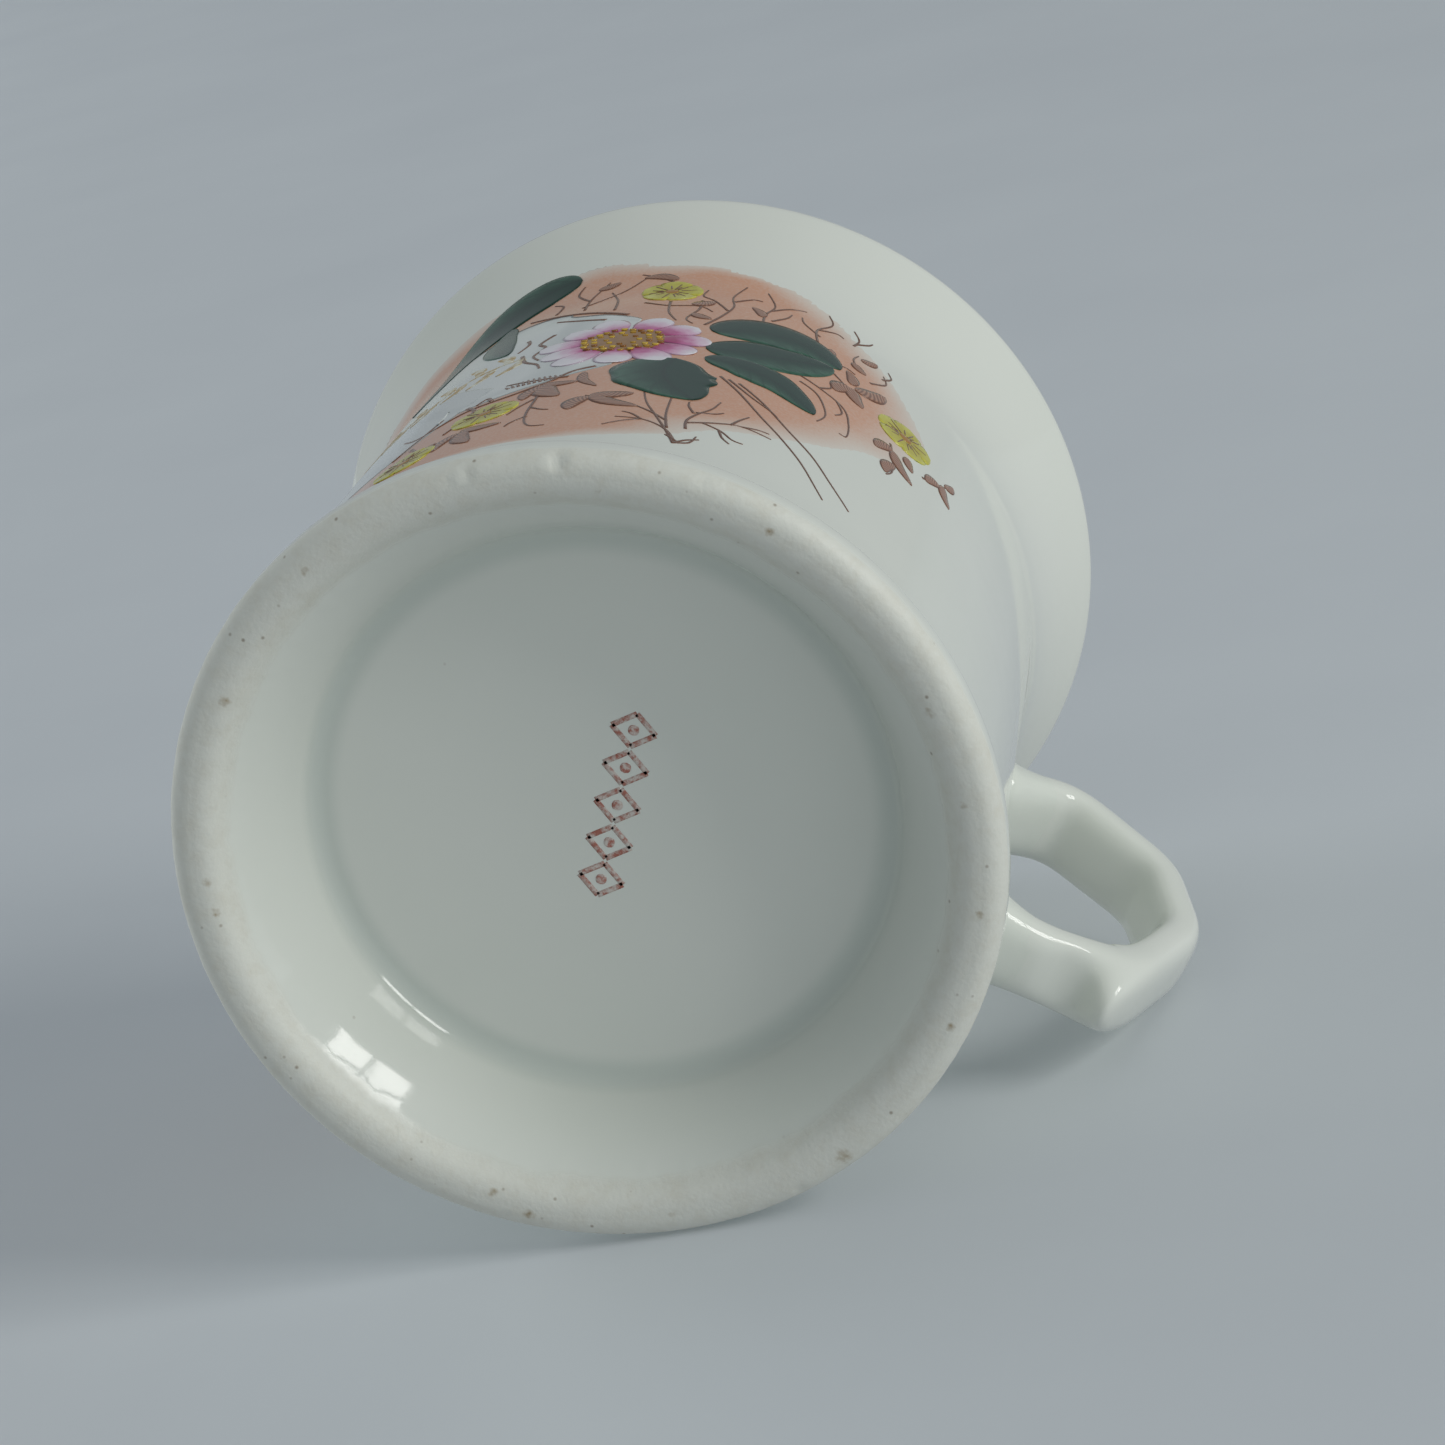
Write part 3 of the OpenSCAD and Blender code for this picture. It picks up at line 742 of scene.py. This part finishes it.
def stem(points, width=STEM_W, lift=LIFT_PRINT, shade=0.0):
    """A thin line, thickest at its foot."""
    brush(bm, points, lambda s: width * (1.15 - 0.6 * s), lift, long_steps=4 * len(points), cross_steps=1,
          shade=shade)


def sprig_leaf(base, tip, width, shade=1.0, bend=0.12):
    """A small pointed leaf from base to tip, bowed to one side."""
    base, tip = Vector(base), Vector(tip)
    across = Vector((-(tip - base).y, (tip - base).x)) * bend
    brush(bm, [base, base.lerp(tip, 0.5) + across, tip],
          lambda s: width * math.sin(math.pi * s ** 0.85) ** 0.8 + 0.06,
          LIFT_PRINT + 0.008, long_steps=12, cross_steps=4, shade=shade)


# Each stem is a list of [distance round the wall, height] from its foot to its end
fine_stems = [
    [(75, 12.2), (76.3, 16), (78.2, 21), (79.7, 25), (80.6, 29)],
    [(76.4, 17), (77.2, 22), (77.6, 29)],
    [(76.8, 19.5), (79.5, 22.5), (83, 25.2), (86.5, 27)],
    [(75, 13), (76.5, 16.5), (79, 18.6), (82, 18.8)],
    [(79.5, 18.6), (81.3, 17.2), (82.8, 15.6)],
    [(79.2, 18.6), (80.5, 20.3), (81.6, 20.9)],
    [(74.6, 18), (74.9, 21), (74.2, 24), (73.1, 27), (72.6, 30.2)],
    [(74.6, 24), (75.4, 26), (75.6, 27.6)],
    [(74.4, 24.4), (72.6, 25.6), (71.8, 26.8)],
    [(74.8, 20.2), (72, 22.6), (69.6, 24.2), (66.2, 24)],
    [(70.6, 23.6), (70, 26), (69.2, 28.3)],
    [(69.4, 24.2), (67.8, 25.2), (66.6, 25.4)],
    [(73.2, 21.4), (71.2, 20.4), (69.8, 18.8), (68.6, 18.7)],
    [(71.4, 20.4), (70.8, 18.4), (69.9, 17.2)],
    [(75, 12.4), (73.6, 13.6), (73.2, 16.2)],
    [(75, 12.4), (74, 14.2), (72.8, 15.4)],
    [(74.4, 12.6), (75.6, 14), (76.2, 14.6)],
    [(74, 39.6), (71.4, 35.6), (68.2, 30), (65.6, 26.2), (62.6, 21.6), (60.4, 17.2), (59, 14.4)],
    [(71.8, 38.8), (68.6, 34.8), (65, 29.4), (61.6, 25.2), (58.8, 20.6), (56, 16.4)],
    [(73, 39.2), (70, 35.4), (67.4, 33), (66.6, 32)],
    [(92.4, 33.5), (92, 28), (91.9, 22.6), (91.4, 18.6), (90.4, 16.4), (88.8, 16)],
    [(92, 24.6), (90.6, 23), (89.6, 22.4)],
    [(92.2, 28), (93.4, 25.6), (94.2, 23.2)],
    [(91.6, 20.8), (93, 19.2), (93.4, 18)],
    [(66, 47.8), (63.6, 46), (62, 41), (62.6, 37.2)],
    [(66.6, 50), (63.6, 48.6), (60.4, 46.4), (59.2, 42), (59, 38), (59.9, 37.6)],
    [(61.4, 47.4), (60.4, 44.6), (61, 42.6)],
    [(63.8, 48.6), (62.6, 50.6), (62.8, 52)],
    [(64, 57.4), (61.4, 54.6), (60, 52), (58.6, 51)],
    [(64.6, 59), (62, 60.6), (60.6, 60.2)],
    [(54, 46.2), (53.2, 42.4), (52.8, 38.2), (53.4, 36)],
    [(49, 45.2), (46.6, 48.2), (44.8, 51.6)],
    [(84, 68), (83.4, 63), (82, 59.4)],
    [(80.4, 69), (80.2, 65), (81, 60.6), (80, 58.6)],
    [(87, 67.6), (84, 66), (80.4, 66.4), (78.6, 64.6)],
    [(72.6, 64), (72.8, 68), (72.2, 72), (73.6, 75.6)],
    [(72.4, 70), (70.6, 72.6), (68.6, 73.8)],
    [(71.8, 66), (70.4, 69), (70, 71)],
    [(94.4, 68.4), (94.4, 73), (92.8, 77.6)],
    [(94.4, 72.4), (96.4, 75.6), (96, 78.2)],
    [(95, 70), (91, 73), (88.4, 77.2)],
    [(84.6, 75.4), (86.4, 77), (89, 78.4)],
    [(62, 70), (61.6, 72.6), (62.6, 74.6)],
    [(61.8, 71), (60.4, 73), (60, 74)],
    [(60.4, 62.4), (61.4, 65), (61, 67.4)],
    [(57.4, 64.6), (56.4, 66.8), (57, 68.4)],
    [(98.6, 22), (97.6, 19), (96.8, 16.2)],
    [(78.6, 58.6), (77.4, 63), (76.6, 68), (77.2, 72), (76.2, 76)],
    [(77, 66), (79, 69.4), (80.6, 71), (80.4, 73.4)],
    [(77, 70), (75, 72.4), (73.8, 72.6)],
    [(66, 64.6), (66.6, 69), (65.2, 73), (66, 75.4)],
    [(66.4, 69.4), (64.4, 71), (63.4, 70.6)],
    [(66, 67), (68.2, 69.4), (68.8, 71.4)],
    [(90.2, 65.4), (90.6, 70), (92, 74)],
    [(98.4, 70.6), (98, 73.4), (99.4, 75)],
    [(58.6, 60.6), (56.8, 63.6), (57.4, 66)],
]
for line_points in fine_stems:
    stem(line_points)

# Hatched leaves: foot, tip and width
printed_leaves = [
    [(86, 27.2), (81.6, 28.2), 2.4], [(86.2, 26.6), (87.4, 21.6), 2.2], [(86, 27), (80.4, 23.2), 2.3],
    [(92.4, 34), (88.4, 33.4), 1.8], [(92, 33.6), (89.6, 27.8), 2.8], [(92.4, 33.6), (93.6, 28.6), 1.9],
    [(88.4, 37.2), (86, 30.8), 1.2], [(99, 22), (94.2, 20.2), 1.8], [(98.6, 21.6), (96.8, 15.2), 2.1],
    [(99.4, 21.4), (101.2, 16.8), 2.0], [(101.8, 21), (103.4, 17.8), 1.4],
    [(60.6, 54.6), (62, 50.8), 2.4], [(60.2, 54.8), (58.4, 50.4), 2.2], [(60, 55), (56.4, 59.4), 2.6],
    [(60.6, 56), (61.6, 60), 1.7], [(53.6, 45), (55.6, 41.8), 2.0], [(53.4, 44.6), (50, 39.6), 2.0],
    [(52.8, 40.6), (53.6, 36.4), 1.7], [(51.4, 46.4), (50.4, 43.4), 1.5],
    [(46.6, 48.4), (48.4, 45.4), 1.7], [(46, 49.4), (44.4, 45.2), 1.6], [(45.8, 50), (44.6, 52.6), 1.3],
    [(61.2, 64), (59.4, 62.2), 1.6], [(60.6, 66.4), (58.6, 68.4), 1.5], [(84.4, 76.4), (88.6, 77.4), 1.6],
    [(94, 76), (91.4, 77), 1.5], [(81.4, 67), (79, 69), 1.9], [(80.6, 63), (78.2, 61.4), 1.6],
    [(73, 66.6), (74.6, 69.6), 1.4], [(65, 60.8), (64.2, 64.4), 1.5],
]
for foot_at, tip_at, leaf_w in printed_leaves:
    sprig_leaf(foot_at, tip_at, leaf_w)

# The hatched fold and the curls drawn on the near end of the ribbon
for i in range(11):
    x = 90.6 + 0.62 * i
    reach = 1.2 * math.sin(math.pi * (i + 1.5) / 13)
    stem([(x, 36.4 - reach * 0.6), (x + 0.5, 36.6 + reach)], 0.34, LIFT_PRINT + 0.02, 0.3)
curls = [[(90, 36), (93.4, 36.6), (97.4, 38)], [(96, 58.6), (97.2, 55.6), (96, 53), (96.8, 50), (95.6, 47)],
         [(98.6, 52), (97.4, 48), (95.4, 45), (94.6, 42.6)], [(99.6, 60), (99, 57.6), (99.8, 55)],
         [(88, 62.4), (92.6, 65.6), (98, 69), (102, 71.8)], [(90.4, 61), (94, 63), (97.2, 65.6)],
         [(87.6, 39.4), (90, 38), (92, 34.8), (96, 32.2), (101, 31.6), (106, 29.4), (109, 33)],
         [(101, 33.4), (99.4, 30), (100.4, 26.4), (101.6, 23.8)], [(104, 33), (105.6, 28.6), (108, 24)],
         [(98, 32.6), (98.8, 34.4), (99.8, 33)], [(105.8, 24.6), (104.4, 21.6), (103, 19)]]
for curl in curls:
    stem(curl, 0.45, LIFT_PRINT + 0.02, 0.3)

# The far end of the ribbon carries the same sprigs, turned about the middle, more thinly.
def turned_over(points):
    """Points turned over about the middle of the painted side."""
    return [(2 * GROUND_MID - 2 - x, z) for x, z in points]


for line_points in fine_stems[17:20] + fine_stems[24:32]:
    stem(turned_over(line_points))
for foot_at, tip_at, leaf_w in printed_leaves[11:24]:
    far_foot, far_tip = turned_over([foot_at, tip_at])
    sprig_leaf(far_foot, far_tip, leaf_w)

# Dark outline and hatching of the small flowers
small_flowers = [(84.5, 72, 3.7), (52.5, 51.5, 4.0), (97.5, 26.6, 3.9), (105, 18, 3.8), (162, 24, 3.8),
                 (178, 60, 3.7)]
for x, z, r in small_flowers:
    for k in range(15):
        a = 2 * math.pi * k / 15 + 0.2 * math.sin(5 * k)
        inner, outer = r * (0.24 + 0.06 * (k % 2)), r * (0.52 + 0.28 * ((k * 7) % 5) / 4)
        c, s = math.cos(a), math.sin(a)
        stem([(x + inner * c, z + inner * s), (x + outer * c, z + outer * s)], 0.2, 0.15, 0.1)

sepia_print, tree, shader = new_material("engraved_sepia_print")
# Brown ceramic ink, even in the stems; leaves are filled with fine slanting lines.
lie = add(tree, "Attribute", attribute_name="lie")
stretch = add(tree, "SeparateXYZ", {0: lie.outputs["Vector"]})
slant = add(tree, "Math", {0: stretch.outputs["Y"], 1: 0.16, 2: stretch.outputs["X"]},
            operation="MULTIPLY_ADD")
lines = add(tree, "Math", {0: slant, 1: 58.0}, operation="MULTIPLY")
comb = add(tree, "Math", {0: lines}, operation="SINE")
gap = add(tree, "MapRange", {0: comb, 1: -0.5, 2: 0.6, 3: 0.15, 4: 0.85})
out = add(tree, "Math", {0: stretch.outputs["Y"]}, operation="ABSOLUTE")
inside = add(tree, "MapRange", {0: out, 1: 0.86, 2: 0.66})
leafy = add(tree, "Math", {0: gap, 1: inside}, operation="MULTIPLY")
hatch = add(tree, "Math", {0: leafy, 1: stretch.outputs["Z"]}, operation="MULTIPLY")
ink = add(tree, "Mix", {0: hatch, 6: srgb("#74503f"), 7: srgb("#b98d75")}, data_type="RGBA")
tree.links.new(ink.outputs[2], shader.inputs["Base Color"])
shader.inputs["Roughness"].default_value = 0.16
wrapped_piece("printed_sprigs_skin", bm, sepia_print, "printed_sprigs")

# ---- Green leaves ----
# Rose leaves in thick copper-green enamel, raised under the finger. Each half is painted
# in its own tone, dark at the midrib and pale at the outer edge.
LIFT_LEAF = 0.085
# Each leaf: middle line from stalk to tip, width, and how toothed its edge is
leaves = [
    [[(77.4, 56.4), (72.4, 60), (67, 61), (62.4, 58.6)], 9.2, 0.0],
    [[(77, 49), (72.4, 50.8), (67.6, 53.6), (63.2, 57.8)], 8.6, 0.0],
    [[(76.6, 45.4), (71.8, 44.8), (67.6, 42.8), (63.2, 38.6)], 7.2, 0.02],
    [[(79.4, 43), (80, 38), (78.6, 33), (75.4, 28.4)], 11.6, 0.035],
    [[(96.6, 80.4), (101, 79.6), (107, 76.6), (112.4, 70.6), (116.6, 60)], 8.6, 0.0],
    [[(104.8, 73), (105, 67), (103.6, 61.4), (101.6, 56.6)], 4.6, 0.0],
    [[(164, 58), (168, 60.4), (173, 60), (178, 56)], 7.6, 0.0],
    [[(164, 50), (168, 47), (173, 44.4), (177, 40)], 7.0, 0.02],
]
bm = bmesh.new()
for number, (path, leaf_w, tooth) in enumerate(leaves):
    brush(bm, path,
          lambda s: leaf_w * math.sin(math.pi * s ** 0.86) ** 0.72 * (1 + tooth * math.sin(24 * s)),
          LIFT_LEAF + 0.012 * (number % 4), long_steps=44, cross_steps=12, dome=0.05, shade=(number % 4) / 4)

leaf_enamel, tree, shader = new_material("raised_green_enamel")
lie = add(tree, "Attribute", attribute_name="lie")
stretch = add(tree, "SeparateXYZ", {0: lie.outputs["Vector"]})
out = add(tree, "Math", {0: stretch.outputs["Y"]}, operation="ABSOLUTE")
halves = add(tree, "MapRange", {0: stretch.outputs["Y"], 1: -0.12, 2: 0.12, 3: 0.0, 4: 0.5})
paling = add(tree, "MapRange", {0: out, 1: 0.1, 2: 0.95, 3: 0.0, 4: 0.75}, interpolation_type="SMOOTHSTEP")
at = add(tree, "TexCoord").outputs["Object"]
streak = add(tree, "TexNoise", {"Vector": at, "Scale": 1 / (1.5 * MM), "Detail": 4})
mottle = add(tree, "MapRange", {0: streak.outputs["Fac"], 1: 0.3, 2: 0.7, 3: 0.45, 4: 1.1})
tone = add(tree, "Math", {0: halves, 1: paling}, operation="MULTIPLY")
tone_two = add(tree, "Math", {0: tone, 1: mottle}, operation="MULTIPLY")
green = add(tree, "Mix", {0: tone_two, 6: srgb("#17392e"), 7: srgb("#64937c")}, data_type="RGBA")
vein_run = add(tree, "Math", {0: out, 1: -0.22, 2: stretch.outputs["X"]}, operation="MULTIPLY_ADD")
vein_wave = add(tree, "Math", {0: vein_run, 1: 44.0}, operation="MULTIPLY")
vein_sine = add(tree, "Math", {0: vein_wave}, operation="SINE")
vein = add(tree, "MapRange", {0: vein_sine, 1: 0.8, 2: 1.0, 3: 0.0, 4: 0.35})
rib = add(tree, "MapRange", {0: out, 1: 0.08, 2: 0.02, 3: 0.0, 4: 0.7})
dark = add(tree, "Math", {0: vein, 1: rib}, operation="MAXIMUM")
veined = add(tree, "Mix", {0: dark, 6: green.outputs[2], 7: srgb("#132a25")}, data_type="RGBA")
tree.links.new(veined.outputs[2], shader.inputs["Base Color"])
shader.inputs["Roughness"].default_value = 0.16
shader.inputs["Specular IOR Level"].default_value = 0.3
wrapped_piece("green_leaves_skin", bm, leaf_enamel, "green_leaves")

# ---- Yellow flowers ----
# Five-petalled flowers washed in lemon enamel over their printed outline, with an ochre eye.
# The wash is thin, so the brown hatching shows through it.
LIFT_YELLOW = 0.08
bm = bmesh.new()
for x, z, r in small_flowers:
    for k in range(5):
        a = 2 * math.pi * k / 5 + 0.35
        c, s = math.cos(a), math.sin(a)
        path = [(x, z), (x + 0.55 * r * c, z + 0.55 * r * s), (x + r * c, z + r * s)]
        brush(bm, path, lambda s: (1.02 + 0.06 * math.sin(19 * s)) * r * math.sin(math.pi * s ** 1.4) ** 0.6,
              LIFT_YELLOW + 0.006 * k,
              long_steps=14, cross_steps=6, dome=0.03, shade=k / 5)
    brush(bm, [(x - 0.22 * r, z), (x, z), (x + 0.22 * r, z)],
          lambda s: 0.44 * r * math.sin(math.pi * s) ** 0.5, LIFT_YELLOW + 0.05,
          long_steps=8, cross_steps=6, dome=0.04, shade=2.0)

lemon_enamel, tree, shader = new_material("washed_lemon_enamel")
# Transparent yellow wash: strong at the eye, thin and greener at the petal ends.
lie = add(tree, "Attribute", attribute_name="lie")
stretch = add(tree, "SeparateXYZ", {0: lie.outputs["Vector"]})
at = add(tree, "TexCoord").outputs["Object"]
wash = add(tree, "TexNoise", {"Vector": at, "Scale": 1 / (1.2 * MM), "Detail": 3})
thin = add(tree, "Math", {0: wash.outputs["Fac"], 1: stretch.outputs["X"]}, operation="MULTIPLY")
thin_in = add(tree, "MapRange", {0: thin, 1: 0.1, 2: 0.6})
lemon = add(tree, "Mix", {0: thin_in, 6: srgb("#b5aa2c"), 7: srgb("#d2d262")}, data_type="RGBA")
eye_in = add(tree, "Math", {0: stretch.outputs["Z"], 1: 1.5}, operation="GREATER_THAN")
yellow = add(tree, "Mix", {0: eye_in, 6: lemon.outputs[2], 7: srgb("#a8792a")}, data_type="RGBA")
tree.links.new(yellow.outputs[2], shader.inputs["Base Color"])
shader.inputs["Roughness"].default_value = 0.12
wrapped_piece("yellow_flowers_skin", bm, lemon_enamel, "yellow_flowers")

# ---- Large flower ----
# An open flower in rose enamel, magenta at the heart and nearly white at the petal ends,
# round a domed ochre button dotted with stamens.
LIFT_PETAL = 0.11
FLOWER_X, FLOWER_Z = 86.5, 50
PETALS, PETAL_L, PETAL_W = 11, 9.9, 4.3
BUTTON_R = 4.7
bm = bmesh.new()
for k in range(PETALS):
    a = 2 * math.pi * (k + 0.25) / PETALS
    c, s = math.cos(a), math.sin(a)
    reach = PETAL_L + 0.45 * math.sin(3.1 * k)
    path = [(FLOWER_X + q * c - 0.25 * q * (q / reach) * s * math.sin(2.3 * k) * 0.3, FLOWER_Z + q * s)
            for q in (3.6, (3.6 + reach) / 2, reach)]
    # The right-hand petals are pinker.
    brush(bm, path, lambda s: PETAL_W * math.sin(math.pi * (0.12 + 0.88 * s) ** 1.7) ** 0.6,
          LIFT_PETAL + 0.012 * (k % 3), long_steps=22, cross_steps=10, dome=0.07, shade=max(0, -c))


def dot(bm, x, z, r, lift, **settings):
    """A round spot of colour."""
    brush(bm, [(x - r, z), (x, z), (x + r, z)], lambda s: 2 * r * math.sqrt(max(0, 1 - (2 * s - 1) ** 2)),
          lift, **settings)


dot(bm, FLOWER_X, FLOWER_Z, BUTTON_R, LIFT_PETAL + 0.06, long_steps=28, cross_steps=14, dome=0.06, shade=2.0)
# Rings of stamens: radius of the ring, and how many stand on it
stamen_rings = [(4.35, 26), (3.2, 16), (1.9, 8)]
for ring_number, (ring_r, count) in enumerate(stamen_rings):
    for k in range(count):
        a = 2 * math.pi * (k + 0.5 * ring_number) / count
        wob = 1 + 0.07 * math.sin(7.7 * k + ring_number)
        x, z = FLOWER_X + wob * ring_r * math.cos(a), FLOWER_Z + wob * ring_r * math.sin(a)
        d = 0.38 - 0.03 * ring_number
        dot(bm, x, z, d, LIFT_PETAL + 0.13, long_steps=6, cross_steps=4, dome=0.1,
            shade=3.0 + 0.3 * ((k * 7) % 3))

rose_enamel, tree, shader = new_material("shaded_rose_enamel")
lie = add(tree, "Attribute", attribute_name="lie")
stretch = add(tree, "SeparateXYZ", {0: lie.outputs["Vector"]})
at = add(tree, "TexCoord").outputs["Object"]
brushed = add(tree, "TexNoise", {"Vector": at, "Scale": 1 / (1.1 * MM), "Detail": 3})
pull = add(tree, "Math", {0: brushed.outputs["Fac"], 1: 0.3, 2: -0.15}, operation="MULTIPLY_ADD")
run_in = add(tree, "Math", {0: stretch.outputs["X"], 1: pull}, operation="ADD")
pinker = add(tree, "Math", {0: stretch.outputs["Z"], 1: -0.28, 2: run_in}, operation="MULTIPLY_ADD")
petal = add(tree, "ValToRGB", {0: pinker})
stops = petal.color_ramp.elements
stops[0].position, stops[0].color = 0.08, srgb("#a8356f")
stops[1].position, stops[1].color = 0.68, srgb("#e8e4ea")
for where, code in ((0.24, "#c4689b"), (0.42, "#dcb0ca")):
    stops.new(where).color = srgb(code)
out = add(tree, "Math", {0: stretch.outputs["Y"]}, operation="ABSOLUTE")
seam = add(tree, "MapRange", {0: out, 1: 0.82, 2: 1.0, 3: 0.0, 4: 0.6})
outlined = add(tree, "Mix", {0: seam, 6: petal, 7: srgb("#93718f")}, data_type="RGBA")
button = add(tree, "Mix", {0: brushed.outputs["Fac"], 6: srgb("#7a4f22"), 7: srgb("#b07f30")},
             data_type="RGBA")
is_button = add(tree, "Math", {0: stretch.outputs["Z"], 1: 1.5}, operation="GREATER_THAN")
with_button = add(tree, "Mix", {0: is_button, 6: outlined.outputs[2], 7: button.outputs[2]}, data_type="RGBA")
stamen_pick = add(tree, "MapRange", {0: stretch.outputs["Z"], 1: 3.0, 2: 3.6})
stamen = add(tree, "Mix", {0: stamen_pick, 6: srgb("#d0ae3e"), 7: srgb("#8f5c20")}, data_type="RGBA")
is_stamen = add(tree, "Math", {0: stretch.outputs["Z"], 1: 2.5}, operation="GREATER_THAN")
flower = add(tree, "Mix", {0: is_stamen, 6: with_button.outputs[2], 7: stamen.outputs[2]}, data_type="RGBA")
tree.links.new(flower.outputs[2], shader.inputs["Base Color"])
shader.inputs["Roughness"].default_value = 0.1
wrapped_piece("large_flower_skin", bm, rose_enamel, "large_flower")

# ---- Stamped mark ----
# An iron-red rubber stamp under the foot, printed unevenly on the glaze. It is a plain
# row of lozenges, each with a dot in it.
mark_low, mark_high = (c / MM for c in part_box("base_mark"))
mark_mid = (mark_low + mark_high) / 2
MARK_TURN = math.radians(77)
MARK_PITCH = 4.4
MARK_COUNT = 5
INK_T = 0.03
# Half length and half width of a lozenge, width of its line, and radius of its dot
LOZENGE_L, LOZENGE_W, LINE_W, DOT_R = 1.9, 2.4, 0.62, 0.6


def on_recess(u, v, lift):
    """Point on the recessed floor under the foot, along and across the row of the mark."""
    c, s = math.cos(MARK_TURN), math.sin(MARK_TURN)
    return Vector((mark_mid.x + u * c - v * s, mark_mid.y + u * s + v * c, RECESS_D - lift)) * MM


bm = bmesh.new()
for i in range(MARK_COUNT):
    u = (i - (MARK_COUNT - 1) / 2) * MARK_PITCH
    corners = [(u - LOZENGE_L, 0), (u, LOZENGE_W), (u + LOZENGE_L, 0), (u, -LOZENGE_W), (u - LOZENGE_L, 0)]
    for a, b in zip(corners, corners[1:]):
        brush(bm, [a, b], lambda s: LINE_W, INK_T, long_steps=6, cross_steps=1, shade=i / 5, put=on_recess)
    dot(bm, u, 0, DOT_R, INK_T, long_steps=8, cross_steps=4, shade=0.5, put=on_recess)

stamp_ink, tree, shader = new_material("stamped_iron_red")
# Thin iron red under gloss, broken up where the stamp hardly touched.
at = add(tree, "TexCoord").outputs["Object"]
touch = add(tree, "TexNoise", {"Vector": at, "Scale": 1 / (0.7 * MM), "Detail": 4, "Roughness": 0.7})
inked = add(tree, "MapRange", {0: touch.outputs["Fac"], 1: 0.4, 2: 0.6, 3: 0.12, 4: 0.9})
iron = add(tree, "Mix", {0: inked, 6: srgb("#dcd9d0"), 7: srgb("#a8553f")}, data_type="RGBA")
tree.links.new(iron.outputs[2], shader.inputs["Base Color"])
shader.inputs["Roughness"].default_value = 0.12
wrapped_piece("stamped_mark", bm, stamp_ink, "base_mark")
